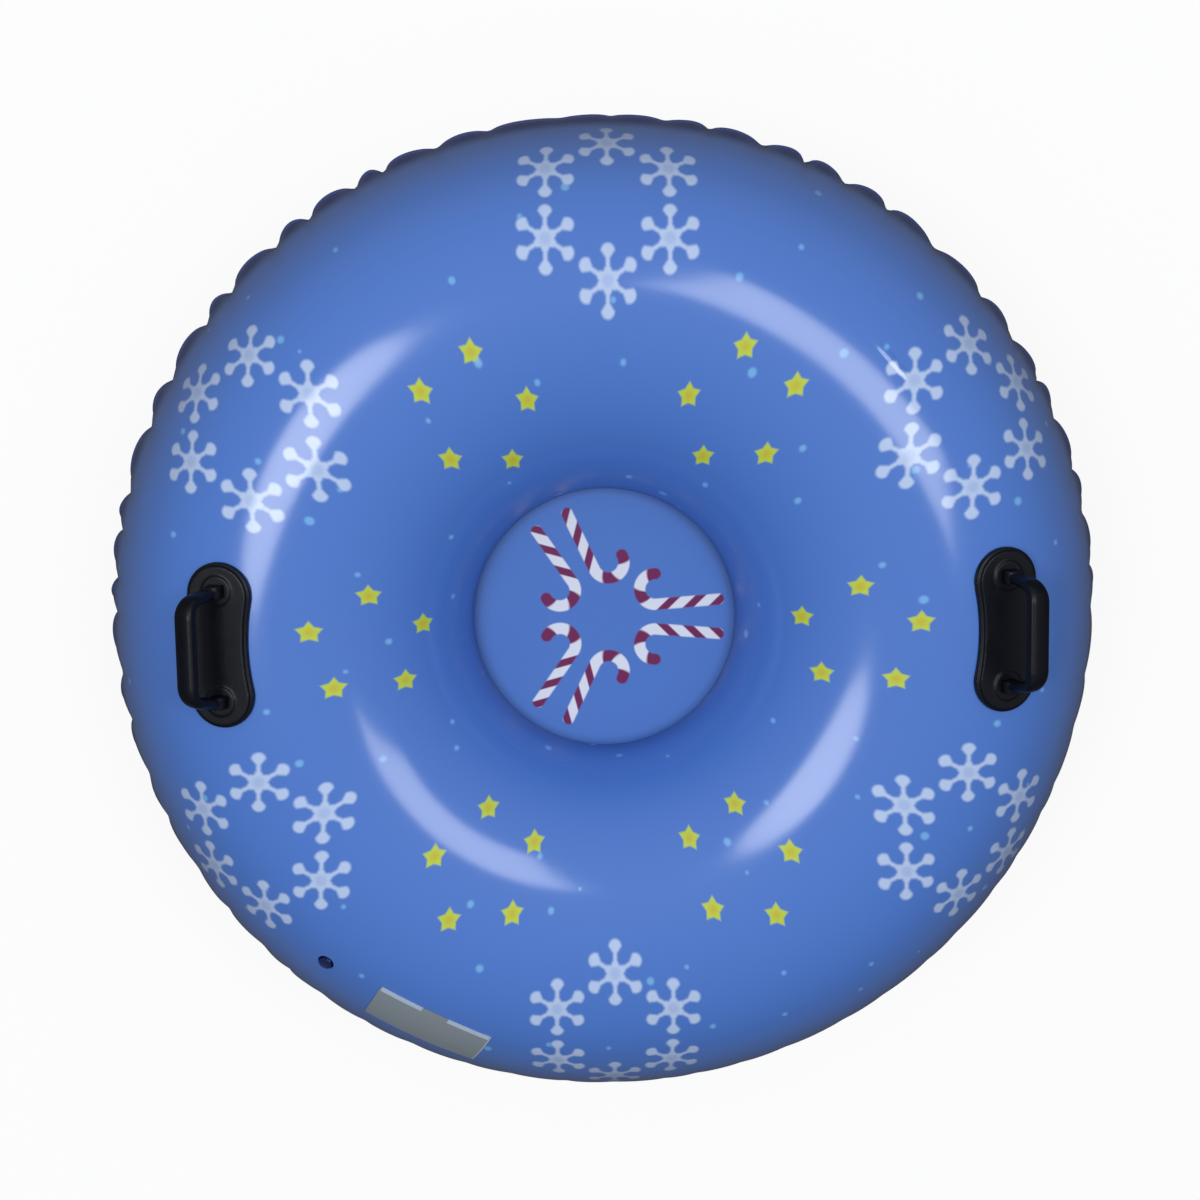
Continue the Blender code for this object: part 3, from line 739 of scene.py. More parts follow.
def print_plane(used, tube):
    """Flat artwork coordinates: 1 is the crest of the tube, and directions are kept."""
    x, y, _ = used.place.axes()
    radius = hypot(x, y)
    along = (1 - section_turn(used, tube) / math.pi - PRINT_CREST) / PRINT_SPAN
    reach = 1 + along + along * along * PRINT_STRETCH
    return x * reach / radius, y * reach / radius


def speck_mask(used, x, y):
    """Small specks of snow, one to a cell and of uneven size."""
    smallest, varies, edge = 0.004, 0.009, 0.006
    aside_x, aside_y = 0.37, 0.21
    plane = used.start.node("CombineXYZ", {}, {0: x + aside_x, 1: y - aside_y})
    cells = {"voronoi_dimensions": '2D', "feature": 'F1'}
    sockets = {"Vector": plane, "Scale": SPECK_CELLS, "Randomness": 1.0}
    away = used.start.node("TexVoronoi", cells, sockets)
    chance = used.start.node("TexVoronoi", cells, sockets, 1).axes()[0]
    return (away / SPECK_CELLS - smallest - chance * varies).soften(edge)


def star_masks(x, y):
    """Stars with five points, and the darker heart of each."""
    tip, notch, edge, heart = 0.037, 0.0222, 0.004, 0.012
    x, y = ring_of(x, y, STAR_RINGS, STAR_RING_RADIUS, 5)
    along, across, _ = folded(x, y, 5)
    star = star_edge(along, abs(across), tip, notch, 5).soften(edge)
    return star, (hypot(x, y) - heart).soften(heart)


def flake_masks(x, y):
    """Snowflakes with six arms and a cut knob on each, and the greyer middle of each."""
    arm_half, arm_length, edge = 0.006, 0.08, 0.006
    knob_middle, knob_radius, knob_foot = 0.0755, 0.0205, 0.049
    tip, notch = 0.048, 0.0275
    middle, middle_edge = 0.017, 0.008
    x, y = ring_of(x, y, FLAKE_RINGS, FLAKE_RING_RADIUS, 6)
    along, across, _ = folded(x, y, 6)
    across = abs(across)
    arm = (across - arm_half).most(along - arm_length)
    wedge = across * 0.8 - (along - knob_foot) * 0.6
    knob = (hypot(along - knob_middle, across) - knob_radius).most(wedge)
    heart = star_edge(along, across, tip, notch, 6)
    flake = arm.least(knob).least(heart).soften(edge)
    return flake, (hypot(x, y) - middle).soften(middle_edge)


def printed_vinyl(tube, colours):
    """Blue gloss vinyl with rings of snowflakes, rings of stars and specks of snow, and painted
    shade beside both welds.
    """
    used = Finish("printed vinyl", colours.blue, 0.2, IOR=1.5)
    x, y = print_plane(used, tube)
    turn = abs(section_turn(used, tube))
    from_seat = math.pi - turn
    ground = (used.noise(3.0) * 0.16).tint(colours.blue, colours.underside)
    # Painted shade on the skin beside the inner weld
    ground = (greying(from_seat, 0.3) * 0.7).tint(ground, colours.painted_seam_shade)

    star, heart = star_masks(x, y)
    ground = star.tint(ground, heart.tint(colours.star, colours.star_heart))
    flake, middle = flake_masks(x, y)
    specks = speck_mask(used, x, y) * (1 - flake) * 0.8
    flake = flake * (0.86 - middle * 0.18)
    printed = specks.tint(flake.tint(ground, colours.flake), colours.dot)

    # Painted shade: the skin is tinted grey towards the outer weld, and darker in a band beside
    # it that is faintest in the dips between scallops, at angles round the section
    rim_shade_reach, band_middle, band_edge, well_reach = 1.15, 0.29, 0.1, 0.9
    cloud = used.noise(34.0, 3.0)
    # Painted shade of the skin turning away from the light towards the outer weld
    printed = (greying(turn, rim_shade_reach) * (0.66 + cloud * 0.3)).tint(printed, colours.rim)
    dips = used.start.node("Attribute", {"attribute_name": "crease"}, {}, 2)
    # Painted shade: a dark band beside the outer weld, strongest on the scallops' crests and
    # faint in the dips
    band = (turn - band_middle).soften(band_edge) * (0.8 - dips * 0.75)
    used.paint(band.tint(printed, colours.weld))
    well = greying(from_seat, well_reach)
    used.paint(used.noise(14.0) * 0.06 + 0.11 + well * 0.25, "Roughness")
    used.emboss(vinyl_relief(used, 0.5) + wrinkle(used), 0.0006)
    return used


def cane_masks(east, north):
    """Three mirrored pairs of canes, and the red of their stripes. 1 is the seat's edge."""
    third = math.tau / 3
    turned = north.maths('ARCTAN2', east)
    rest = turned - (turned / third).maths('ROUND') * third
    radius = hypot(east, north)
    u, v = radius * rest.maths('COSINE'), abs(radius * rest.maths('SINE'))

    # A straight shaft along u, and a hook that bends round a middle
    shaft_end, half_thickness, slope = 0.846, 0.0435, 0.078
    bend_u, bend_v, bend = 0.3625, 0.2147, 0.119
    side = v - (u - bend_u) * slope - (bend_v - bend)
    past_tip = (u - shaft_end).most(0.0)
    shaft = hypot(past_tip, side)
    hook_u, hook_v = u - bend_u, v - bend_v
    round_hook = hypot(hook_u, hook_v)
    hook = abs(round_hook - bend)
    tip = hypot(hook_u, hook_v - bend)
    on_hook = u < bend_u
    above = 0 - hook_v
    near_tip = (above < 0.0) * (1 - on_hook)
    far = near_tip.between(on_hook.between(shaft, hook), tip.least(shaft))
    cane = (far - half_thickness).soften(0.008)

    # Stripes, counted from the tip of the shaft
    first_stripe, pitch, slant, hook_slant = 0.865, 0.2, 5.5, 1.8
    hook_start, hook_pace, tip_count, half_stripe = 2.45, 0.516, 4.0, 0.22
    swing = (hook_u * -1).maths('ARCTAN2', above)
    along_shaft = (first_stripe - u) / pitch + side * slant
    along_hook = swing * hook_pace + hook_start + (bend - round_hook) * hook_slant
    along = near_tip.between(on_hook.between(along_shaft, along_hook), tip_count)
    phase = (along + 0.5).maths('FRACT') - 0.5
    return cane, (abs(phase) - half_stripe).soften(0.05)


def seat_vinyl(tube, colours):
    """Blue gloss vinyl with striped canes, and painted shade that darkens it at its edge."""
    used = Finish("seat vinyl", colours.blue, 0.22, IOR=1.5)
    x, y, _ = used.place.axes()
    disc = tube.ring_radius - tube.half_width
    off_middle, edge_middle, edge_width = 0.025, 0.958, 0.026
    cane, red = cane_masks(x / disc - off_middle, y / disc)
    stripes = red.tint(colours.cane_white, colours.cane_red)
    ground = (used.noise(3.0) * 0.16).tint(colours.seat, colours.underside)
    # Painted shade: the seat darkens towards its welded edge
    edge = (edge_middle - hypot(x, y) / disc).soften(edge_width)
    ground = (edge * 0.6).tint(ground, colours.painted_seam_shade)
    used.paint(cane.tint(ground, stripes))
    used.paint(used.noise(14.0) * 0.08 + 0.18, "Roughness")
    used.emboss(vinyl_relief(used, 0.5), 0.0005)
    return used


def plain_vinyl(colours):
    """Unprinted lower skin, a little dull from handling."""
    used = Finish("plain vinyl", colours.underside, 0.35, IOR=1.5)
    tone = used.noise(5.0, 4.0)
    used.paint((tone * 0.2).tint(colours.underside, colours.weld))
    used.paint(used.noise(30.0, 4.0) * 0.2 + 0.28, "Roughness")
    used.emboss(vinyl_relief(used, 0.6), 0.0006)
    return used


def welded_vinyl(name, colour, colours):
    """Pressed weld, darker than the skins, with the fine ribs of the welding bar."""
    ribs_round, ribs_across = 2400, 1600
    used = Finish(name, colour, 0.4, IOR=1.5, Specular_IOR_Level=0.3)
    x, y, z = used.place.axes()
    ribs = (y.maths('ARCTAN2', x) * ribs_round + z * ribs_across).maths('SINE')
    tone = used.noise(40.0, 3.0)
    used.paint((tone * 0.2).tint(colour, colours.underside))
    used.paint(tone * 0.2 + 0.38, "Roughness")
    used.emboss(ribs * 0.2 + tone * 0.5, 0.0002)
    return used


def patch_vinyl(colours):
    """Grey vinyl with a fine pebble, two pale strips and a pale short edge."""
    used = Finish("patch vinyl", colours.patch, 0.42, IOR=1.5)
    # Places on the flat patch, as shares of its length and its width
    strip_start, strip_end, strip_side, short_edge = 0.115, 0.485, 0.90, 0.988
    flat_x, flat_y, _ = used.start.node("UVMap", {"uv_map": "UVMap"}, {}).axes()
    middle = abs(flat_x - 0.5)
    strip = (strip_start - middle).soften(0.006) * (middle - strip_end).soften(0.004)
    strip = strip * (strip_side - flat_y).soften(0.008)
    strip = strip.most((short_edge - flat_x).soften(0.004) * 0.7)
    pebble = used.noise(900.0)
    tone = used.noise(26.0, 3.0)
    grey = (tone * 0.12).tint(colours.patch, colours.underside)
    used.paint(strip.tint(grey, colours.lip))
    used.paint(tone * 0.15 + 0.34, "Roughness")
    used.emboss(pebble, 0.00025)
    return used


def moulded_rubber(colours):
    """Black rubber with a fine matt grain and worn, greyer spots."""
    used = Finish("moulded rubber", colours.rubber, 0.42, Specular_IOR_Level=0.2)
    tone = used.noise(60.0, 3.0)
    grain = used.noise(1500.0)
    used.paint((tone * 0.2).tint(colours.rubber, colours.worn))
    used.paint(tone * 0.16 + 0.22, "Roughness")
    used.emboss(grain * 0.5 + tone * 0.5, 0.0002)
    return used


def valve_vinyl(colours):
    """Soft moulding of the valve, coloured dark navy as painted shade of the recess it sits in.
    """
    used = Finish("valve vinyl", colours.valve, 0.33, IOR=1.5)
    tone = used.noise(300.0)
    used.paint((tone * 0.3).tint(colours.valve, colours.weld))
    used.emboss(tone, 0.0002)
    return used


# Pieces

# Faces round and across the form that the patch and the handles' bases are fitted to
FORM_STEPS = (480, 160)


def valve_place(settings):
    """Frame at the middle of the valve."""
    tube, valve = settings.tube, settings.valve
    return skin_frame(tube, valve.azimuth, inset_angle(tube, valve.inset))


def sleeve_radius(settings):
    """Radius of the valve's hole through the skin, which clears the lid's hinge."""
    valve = settings.valve
    lid_hinge = valve.lid_radius + valve.lid_thickness / 2 + settings.tube.clearance
    return lid_hinge + settings.tube.clearance + valve.room


def add_ring(name, tube, grow, steps_round, steps_across):
    """The whole inflated ring as one smooth shape, grown a little all round."""
    fresh()
    bpy.ops.mesh.primitive_circle_add(
        vertices=steps_across, radius=tube.half_width + grow,
        location=(tube.ring_radius, 0, middle_height(tube)), rotation=(math.pi / 2, 0, 0))
    ring = named(name)
    ring.scale.y = (tube.half_height + grow) / (tube.half_width + grow)
    settle(ring)
    # A short spin and then copies of it, because one spin of many steps is slow
    doublings = 5
    turn = math.tau / 2 ** doublings
    with editing(ring):
        bpy.ops.mesh.spin(steps=steps_round // 2 ** doublings, angle=turn, center=(0, 0, 0),
                          axis=(0, 0, 1))
        for _ in range(doublings):
            take_all()
            bpy.ops.mesh.duplicate()
            bpy.ops.transform.rotate(value=turn, orient_axis='Z', center_override=(0, 0, 0))
            turn *= 2
        face_out()
    return ring


def make_skin(name, tube, side, steps_across):
    """One puckered skin, from the outer weld to the inner one, with its thickness."""
    skin = add_ring(name, tube, 0.0, tube.steps_round, steps_across)
    middle = middle_height(tube)
    outer_rim = middle + side * (tube.skin + tube.clearance)
    inner_rim = middle + side * (tube.skin + tube.sheet + tube.clearance)
    with editing(skin):
        bpy.ops.mesh.bisect(plane_co=(0, 0, outer_rim), plane_no=(0, 0, side),
                            clear_inner=True)
        pick(skin, lambda place: abs(place.z - outer_rim) < tube.clearance
             and place.xy.length < tube.ring_radius)
        bpy.ops.transform.translate(value=(0, 0, inner_rim - outer_rim))
        if side < 0:
            pick(skin, lambda place: place.z < 0)
            bpy.ops.transform.resize(value=(1, 1, 0), center_override=(0, 0, 0))
    push(skin, tube.pucker_depth / 2 + tube.fold_depth, lambda place: pucker(tube, place))
    modify(skin, 'SOLIDIFY', thickness=tube.skin, offset=-1.0)
    return skin


class MakeSkins(bpy.types.Operator):
    """Model the upper and lower skins"""
    bl_idname = "snow_tube.skins"
    bl_label = "Skins"

    def execute(self, context):
        settings = context.scene.snow_tube
        tube = settings.tube
        top = make_skin("tube_top", tube, side=1, steps_across=96)
        cut(top, cylinder("valve_hole", sleeve_radius(settings), depth=0.01,
                          place=valve_place(settings), vertices=48))
        mark(top, "crease", lambda place: crease(tube, place))
        finish(top, "tube", printed_vinyl(tube, settings.colours),
               "top_skin")
        bottom = make_skin("tube_underside", tube, side=-1, steps_across=64)
        finish(bottom, "tube", plain_vinyl(settings.colours), "bottom_skin")
        return {'FINISHED'}


class MakeWelds(bpy.types.Operator):
    """Model the scalloped outer weld and the inner weld"""
    bl_idname = "snow_tube.welds"
    bl_label = "Welds"

    def execute(self, context):
        settings = context.scene.snow_tube
        tube, colours = settings.tube, settings.colours
        middle = middle_height(tube)
        edge = tube.ring_radius + tube.half_width
        fresh()
        bpy.ops.mesh.primitive_circle_add(vertices=tube.steps_round, radius=edge,
                                          location=(0, 0, middle - tube.skin))
        outer = settle(named("scalloped_weld"))
        with editing(outer):
            bpy.ops.mesh.extrude_region_move(
                TRANSFORM_OT_translate={"value": (0, 0, 2 * tube.skin)})
            face_out()
        push(outer, tube.pucker_depth / 2 + tube.fold_depth + tube.weld_proud,
             lambda place: pucker(tube, Vector((*place.xy, middle))) + tube.weld_proud)
        modify(outer, 'SOLIDIFY', thickness=tube.weld_proud + tube.weld_inside, offset=-1.0)
        ease_edges(outer, tube.skin * 0.6, segments=3)
        finish(outer, "tube",
               welded_vinyl("outer weld vinyl", colours.weld, colours), "outer_weld")

        inner = tube.ring_radius - tube.half_width - tube.inner_lip
        outside = inner + tube.inner_lip + tube.inner_inside
        half = tube.skin + tube.sheet
        rounding = half * 0.45
        lip = arc(inner + rounding, half - rounding, rounding, math.pi, math.pi / 2, 3)
        profile = lip + [(outside, half), (outside, -half)]
        profile += [(radius, -height) for radius, height in reversed(lip)]
        ring = lathe("seat_weld", profile, steps=240)
        settle(ring, Matrix.Translation((0, 0, middle)))
        finish(ring, "tube",
               welded_vinyl("seat weld vinyl", colours.seat_weld, colours), "inner_weld")
        return {'FINISHED'}


class MakeSeat(bpy.types.Operator):
    """Model the two sheets that close the middle of the tube"""
    bl_idname = "snow_tube.seat"
    bl_label = "Seat"

    def execute(self, context):
        settings = context.scene.snow_tube
        tube = settings.tube
        radius = tube.ring_radius - tube.half_width - tube.inner_lip + tube.clearance
        for name, side, slot, used, node in (
                ("seat_sheet", 1, "printed_vinyl", seat_vinyl(tube, settings.colours),
                 "seat_top_sheet"),
                ("seat_underside", -1, "plain_vinyl", plain_vinyl(settings.colours),
                 "seat_bottom_sheet")):
            middle = middle_height(tube) + side * (tube.clearance + tube.sheet) / 2
            half = tube.sheet / 2
            rings = 24
            steps = [radius * i / rings for i in range(rings + 1)]
            profile = [(step, half) for step in steps]
            profile += [(step, -half) for step in reversed(steps)]
            sheet = lathe(name, profile, steps=180)
            settle(sheet, Matrix.Translation((0, 0, middle)))
            finish(sheet, "tube", used, node)
        return {'FINISHED'}


class MakePatch(bpy.types.Operator):
    """Model the blank patch"""
    bl_idname = "snow_tube.patch"
    bl_label = "Patch"

    def execute(self, context):
        settings = context.scene.snow_tube
        tube, patch = settings.tube, settings.patch
        form = add_ring("patch_form", tube, tube.clearance, *FORM_STEPS)
        fresh()
        bpy.ops.mesh.primitive_grid_add(x_subdivisions=118, y_subdivisions=60, size=1)
        piece = named("blank_patch_vinyl")
        piece.scale = (patch.length, patch.width, 1)
        settle(piece)
        place = skin_frame(tube, patch.azimuth, inset_angle(tube, patch.inset))
        hover = 0.004
        settle(piece, place @ Matrix.Translation((0, 0, hover))
               @ Matrix.Rotation(math.pi / 2 + patch.turn, 4, 'Z'))
        modify(piece, 'SHRINKWRAP', target=form, wrap_method='NEAREST_SURFACEPOINT',
               wrap_mode='ABOVE_SURFACE', offset=0.0)
        discard(form)
        modify(piece, 'SOLIDIFY', thickness=patch.thickness, offset=1.0)
        finish(piece, "tube", patch_vinyl(settings.colours), "blank_patch",
               sharp=50)
        return {'FINISHED'}


def hinge_height(settings):
    """Height of a grip's hinge over the skin."""
    handle = settings.handle
    return (settings.tube.clearance + handle.thickness + handle.barrel
            - handle.saddle_depth)


def waisted_outline(handle, inside=0.0):
    """Two round ends joined by hollow sides, drawn in by a margin."""
    end_steps, side_steps = 24, 14
    end = handle.end_radius - inside
    reach = handle.length / 2 - handle.end_radius
    waist = end - handle.waist
    hollow = (waist ** 2 + reach ** 2 - end ** 2) / (2 * handle.waist)
    side = waist + hollow
    meet = math.atan2(reach, side)
    points = arc(0, reach, end, -meet, math.pi + meet, end_steps)
    points += arc(-side, 0, hollow, meet, -meet, side_steps)[1:-1]
    points += arc(0, -reach, end, math.pi - meet, math.tau + meet, end_steps)
    points += arc(side, 0, hollow, math.pi + meet, math.pi - meet, side_steps)[1:-1]
    return points


def make_base(name, settings, place):
    """Waisted pad with a thin rim and a saddle for each leg of the grip."""
    tube, handle = settings.tube, settings.handle
    top = tube.clearance + handle.thickness
    base = prism(name, waisted_outline(handle), -handle.end_radius / 2,
                 tube.clearance + handle.rim_thickness)
    body = prism("base_body", waisted_outline(handle, handle.rim_width),
                 -handle.end_radius / 2, top)
    leg_reach = handle.length / 2 - handle.leg_inset
    groove = handle.barrel + tube.clearance
    groove_length = handle.leg_thickness + 2 * (handle.barrel_shoulder + tube.clearance)
    boss = math.hypot(groove, groove_length / 2) + handle.boss_wall
    boss_top = top + handle.boss_height
    parts = [body]
    tools = []
    for side in (-1, 1):
        leg = Matrix.Translation((0, side * leg_reach, 0))
        parts.append(cylinder("boss", boss, boss_top,
                              leg @ Matrix.Translation((0, 0, boss_top / 2))))
        tools.append(cylinder("groove", groove, groove_length,
                              leg @ Matrix.Translation((0, 0, hinge_height(settings)))
                              @ Matrix.Rotation(math.pi / 2, 4, 'X')))
    join(base, *parts)
    modify(base, 'REMESH', mode='VOXEL', voxel_size=handle.voxel)
    modify(base, 'SMOOTH', factor=0.5, iterations=6)
    cut(base, *tools)
    settle(base, place)
    cut(base, add_ring("skin_form", tube, tube.clearance, *FORM_STEPS))
    return base


def squared(wave, squareness):
    """A sine or cosine, drawn towards a square's."""
    return math.copysign(abs(wave) ** squareness, wave)


def grip_path(handle):
    """Middle line of the loop: places in y and z, the turn there, and the bar's share."""
    corner_steps = 8
    leg_reach = handle.length / 2 - handle.leg_inset
    corner_y = leg_reach - handle.leg_draw_in - handle.corner
    corner_z = handle.rise - handle.corner
    splay = math.atan2(handle.leg_draw_in, corner_z)
    half = [(leg_reach - handle.leg_draw_in * share, corner_z * share, splay, share / 2)
            for share in (0.0, 0.25, 0.5, 0.75)]
    for i in range(corner_steps + 1):
        turn = math.pi / 2 * i / corner_steps
        half.append((corner_y + handle.corner * math.cos(turn),
                     corner_z + handle.corner * math.sin(turn), turn,
                     (1 + i / corner_steps) / 2))
    half += [(corner_y * share, handle.rise, math.pi / 2, 1.0) for share in (0.75, 0.5, 0.25)]
    other = [(-y, z, math.pi - turn, share) for y, z, turn, share in reversed(half)]
    return half + [(0.0, handle.rise, math.pi / 2, 1.0)] + other


def grip_ring(handle, y, z, turn, share):
    """Outline of the loop at one place of its middle line."""
    steps = 24
    leg_width = 2 * (handle.barrel - handle.barrel_step)
    half_width = (leg_width + (handle.bar_width - leg_width) * share) / 2
    half_thickness = (handle.leg_thickness
                      + (handle.bar_thickness - handle.leg_thickness) * share) / 2
    points = []
    for i in range(steps):
        angle = math.tau * (i + 0.5) / steps
        away = squared(math.sin(angle), handle.squareness) * half_thickness
        points.append((squared(math.cos(angle), handle.squareness) * half_width,
                       y + away * math.cos(turn), z + away * math.sin(turn)))
    return points


def make_grip(name, settings, place, lean):
    """Loop that a hand holds, moulded in one with its two barrels."""
    handle = settings.handle
    grip = blank(name)
    with editing(grip):
        for ring in grip_path(handle):
            trace(grip, grip_ring(handle, *ring))
        bpy.ops.mesh.select_mode(type='EDGE')
        take_all()
        bpy.ops.mesh.bridge_edge_loops()
        take_all()
        bpy.ops.mesh.fill_holes(sides=0)
        face_out()
    leg_reach = handle.length / 2 - handle.leg_inset
    barrel_length = handle.leg_thickness + 2 * handle.barrel_shoulder
    barrels = [cylinder("barrel", handle.barrel, barrel_length,
                        Matrix.Translation((0, side * leg_reach, 0))
                        @ Matrix.Rotation(math.pi / 2, 4, 'X')) for side in (-1, 1)]
    join(grip, *barrels)
    modify(grip, 'REMESH', mode='VOXEL', voxel_size=handle.voxel)
    modify(grip, 'SMOOTH', factor=0.5, iterations=5)
    return settle(grip, place @ Matrix.Translation((0, 0, hinge_height(settings)))
                  @ Matrix.Rotation(lean, 4, 'Y'))


class MakeHandles(bpy.types.Operator):
    """Model both moulded handles"""
    bl_idname = "snow_tube.handles"
    bl_label = "Handles"

    def execute(self, context):
        settings = context.scene.snow_tube
        tube, handle = settings.tube, settings.handle
        used = moulded_rubber(settings.colours)
        for side, azimuth, inset, lean in (
                ("left", handle.left_azimuth, handle.left_inset, handle.left_lean),
                ("right", handle.right_azimuth, handle.right_inset, handle.right_lean)):
            place = skin_frame(tube, azimuth, inset_angle(tube, inset))
            base = make_base(f"{side}_base_moulding", settings, place)
            finish(base, "tube", used, f"{side}_handle_base")
            grip = make_grip(f"{side}_grip_moulding", settings, place, lean)
            finish(grip, f"{side}_loop", used, f"{side}_grip")
        return {'FINISHED'}


class MakeValve(bpy.types.Operator):
    """Model the pinch valve, and finish its hidden pieces"""
    bl_idname = "snow_tube.valve"
    bl_label = "Valve"

    def execute(self, context):
        settings = context.scene.snow_tube
        valve, gap = settings.valve, settings.tube.clearance
        used = valve_vinyl(settings.colours)
        place = valve_place(settings)
        skirt = sleeve_radius(settings) - gap
        foot = valve.height - valve.length
        collar = valve.height - valve.collar
        outer = valve.bore + valve.wall
        profile = [(valve.bore, foot), (skirt, foot), (skirt, foot + valve.collar),
                   (outer, foot + valve.collar), (outer, collar), (valve.lid_radius, collar),
                   (valve.lid_radius, valve.height), (valve.bore, valve.height)]
        stem = lathe("valve_stem_moulding", profile, steps=64)
        lug_reach = valve.lid_radius + valve.lid_thickness / 2 + 2 * gap
        half = valve.knuckle / 2
        lug = prism("lug", [(-lug_reach, -half), (-outer, -half), (-outer, half),
                            (-lug_reach, half)], collar, valve.height)
        cut(stem, lug, operation='UNION')
        ease_edges(stem, valve.ease)
        settle(stem, place)
        finish(stem, "stem", used, "valve_stem")

        # The lid is a little hollow inside a flat rim, and its knuckle ends under the rim
        half = valve.lid_thickness / 2
        hollow = half * 0.4
        hollow_edge, rim_edge, knuckle_end = (valve.lid_radius * share
                                              for share in (0.72, 0.8, 0.85))
        plug = valve.bore - gap
        tip = -half - valve.plug_length
        lid = lathe("valve_lid_moulding", [
            (0, tip), (plug - valve.plug_taper, tip), (plug, -half), (valve.lid_radius, -half),
            (valve.lid_radius, half), (rim_edge, half), (hollow_edge, hollow),
            (0, hollow)], steps=64)
        hinge_offset = valve.lid_radius + half + gap
        settle(lid, Matrix.Translation((hinge_offset, 0, 0)))
        reach = hinge_offset - knuckle_end
        knuckle = prism("knuckle", arc(0, 0, half, math.pi / 2, 3 * math.pi / 2, 8)
                        + [(reach, -half), (reach, half)],
                        -valve.knuckle / 2, valve.knuckle / 2)
        settle(knuckle, Matrix.Rotation(math.pi / 2, 4, 'X'))
        cut(lid, knuckle, operation='UNION')
        ease_edges(lid, valve.ease * 0.9)
        settle(lid, place @ Matrix.Translation(
            (-hinge_offset, 0, valve.height + gap + half)))
        finish(lid, "lid", used, "valve_lid")
        for node in ("valve_flange", "valve_flap"):
            coat(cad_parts[node], used)
        return {'FINISHED'}


# Stage

# The camera's place, and which way its right, its top and its back point
CAMERA_PLACE = Vector((-0.0184, 0.3456, 2.00548))
CAMERA_AXES = (Vector((0.9999, -0.0039, 0.0105)), Vector((0.0057, 0.9833, -0.1818)),
               Vector((-0.0097, 0.1819, 0.9833)))
CAMERA_LENS = 58.34
CAMERA_SHIFT = (-0.0038, 0.0139)
FLOOR_SIZE = 12
FLOOR_GAP = 0.0005
# How much of the floor's look is plain white, which leaves the rest to its shadow
FLOOR_WHITE = 0.88


def add_lamp(name, studio, shape, azimuth, zenith, roll, size, depth):
    """A soft light that faces the tube from a direction, in degrees."""
    fresh()
    bpy.ops.object.light_add(type='AREA')
    lamp = bpy.context.object
    lamp.name = name
    east, north = math.cos(math.radians(azimuth)), math.sin(math.radians(azimuth))
    lean = math.radians(zenith)
    away = Vector((math.sin(lean) * east, math.sin(lean) * north, math.cos(lean)))
    lamp.location = away * studio.lamp_distance
    turn = Quaternion((0, 0, 1), math.radians(roll))
    lamp.rotation_euler = (away.to_track_quat('Z', 'Y') @ turn).to_euler()
    lamp.data.shape = shape
    lamp.data.size = size
    lamp.data.size_y = depth
    lamp.data.energy = studio.lamp_glow * size * depth


def seen(start):
    """1 for a ray that comes straight from the camera."""
    return start.node("LightPath", {}, {}, 0)


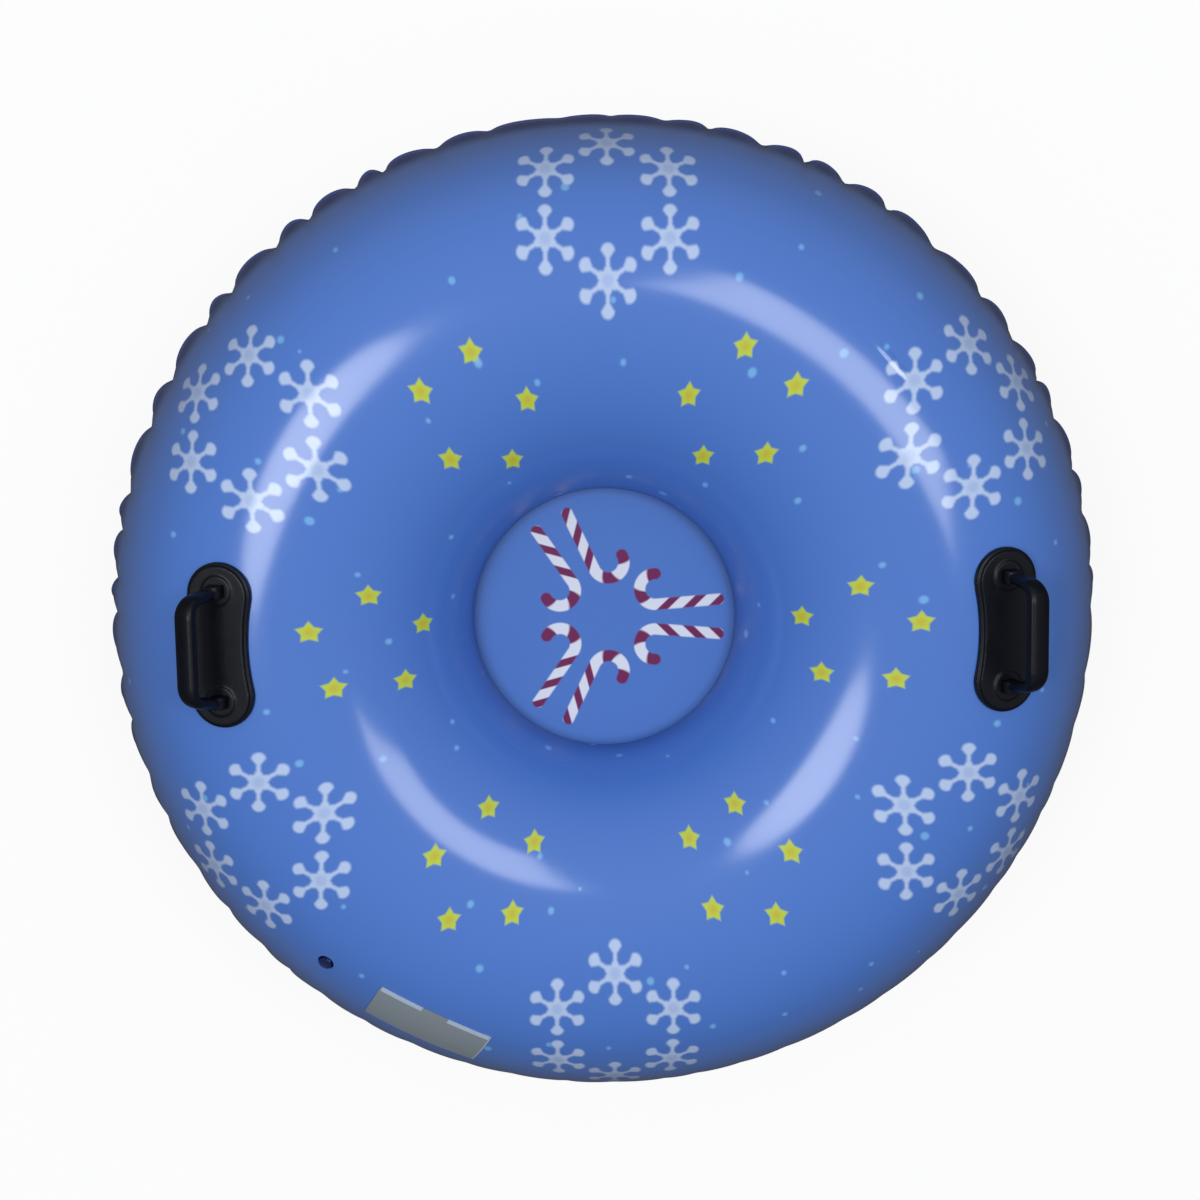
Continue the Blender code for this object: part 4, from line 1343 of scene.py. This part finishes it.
class MakeStage(bpy.types.Operator):
    """Set the floor, the lamps, the sky and the camera"""
    bl_idname = "snow_tube.stage"
    bl_label = "Stage"

    def execute(self, context):
        studio, colours = context.scene.snow_tube.studio, context.scene.snow_tube.colours
        fresh()
        bpy.ops.mesh.primitive_plane_add(size=FLOOR_SIZE, location=(0, 0, -FLOOR_GAP))
        floor = settle(named("floor"))
        used = Finish("pale floor", colours.floor, 0.8)
        used.paint(seen(used.start).tint(colours.bounce, colours.floor))
        glow = used.start.node("Emission", {}, {0: (1, 1, 1, 1), 1: 1.0})
        mixed = used.start.node("MixShader", {}, {
            0: seen(used.start) * FLOOR_WHITE, 1: Field(used.tree, used.shader.outputs[0]),
            2: glow})
        used.tree.links.new(mixed.socket, used.tree.nodes["Material Output"].inputs[0])
        coat(floor, used)

        add_lamp("north_west_lamp", studio, 'ELLIPSE', azimuth=170, zenith=22, roll=0,
                 size=studio.west_size, depth=studio.west_depth)
        add_lamp("north_east_lamp", studio, 'RECTANGLE', azimuth=30, zenith=21.5, roll=20,
                 size=studio.east_size, depth=studio.east_depth)

        world = bpy.data.worlds.new("studio sky")
        context.scene.world = world
        world.use_nodes = True
        start = Field(world.node_tree)
        _, north, height = start.node("TexCoord", {}, {}, 0).axes()
        strength = height.most(0.0) * (studio.sky - studio.horizon) + studio.horizon
        strength = strength * (north * studio.north + 1)
        strength = seen(start).between(strength, 1.0)
        lit = start.node("Background", {}, {0: (1, 1, 1, 1), 1: strength})
        world.node_tree.links.new(lit.socket,
                                  world.node_tree.nodes["World Output"].inputs[0])

        bpy.ops.object.camera_add()
        camera = bpy.context.object
        camera.name = "view"
        turn = Matrix(CAMERA_AXES).transposed().to_4x4()
        camera.matrix_world = Matrix.Translation(CAMERA_PLACE) @ turn
        camera.data.sensor_width = 36
        camera.data.lens = CAMERA_LENS
        camera.data.shift_x, camera.data.shift_y = CAMERA_SHIFT
        camera.data.clip_end = 100
        context.scene.camera = camera
        context.scene.view_settings.view_transform = 'Standard'
        return {'FINISHED'}


OPERATORS = (MakeSkins, MakeWelds, MakeSeat, MakePatch, MakeHandles, MakeValve, MakeStage)


class SnowTubePanel(bpy.types.Panel):
    """Buttons for each group of pieces"""
    bl_idname = "VIEW3D_PT_snow_tube"
    bl_label = "Snow tube"
    bl_space_type = 'VIEW_3D'
    bl_region_type = 'UI'
    bl_category = "Snow tube"

    def draw(self, context):
        for operator in OPERATORS:
            self.layout.operator(operator.bl_idname)
        for group in ("tube", "handle", "patch", "valve", "colours", "studio"):
            box = self.layout.box()
            settings = getattr(context.scene.snow_tube, group)
            for name in settings.bl_rna.properties.keys():
                if name not in ("rna_type", "name"):
                    box.prop(settings, name)


CLASSES = (TubeShape, HandleShape, PatchShape, ValveShape, Colours, Studio, SnowTube,
           *OPERATORS, SnowTubePanel)


def register():
    """Add the classes and the tube's settings."""
    for item in CLASSES:
        bpy.utils.register_class(item)
    bpy.types.Scene.snow_tube = PointerProperty(type=SnowTube)


def unregister():
    """Take the settings and the classes away again."""
    del bpy.types.Scene.snow_tube
    for item in reversed(CLASSES):
        bpy.utils.unregister_class(item)


def main():
    """Model the tube and its stage."""
    register()
    bpy.ops.snow_tube.skins()
    bpy.ops.snow_tube.welds()
    bpy.ops.snow_tube.seat()
    bpy.ops.snow_tube.patch()
    bpy.ops.snow_tube.handles()
    bpy.ops.snow_tube.valve()
    bpy.ops.snow_tube.stage()


if __name__ == "__main__":
    main()
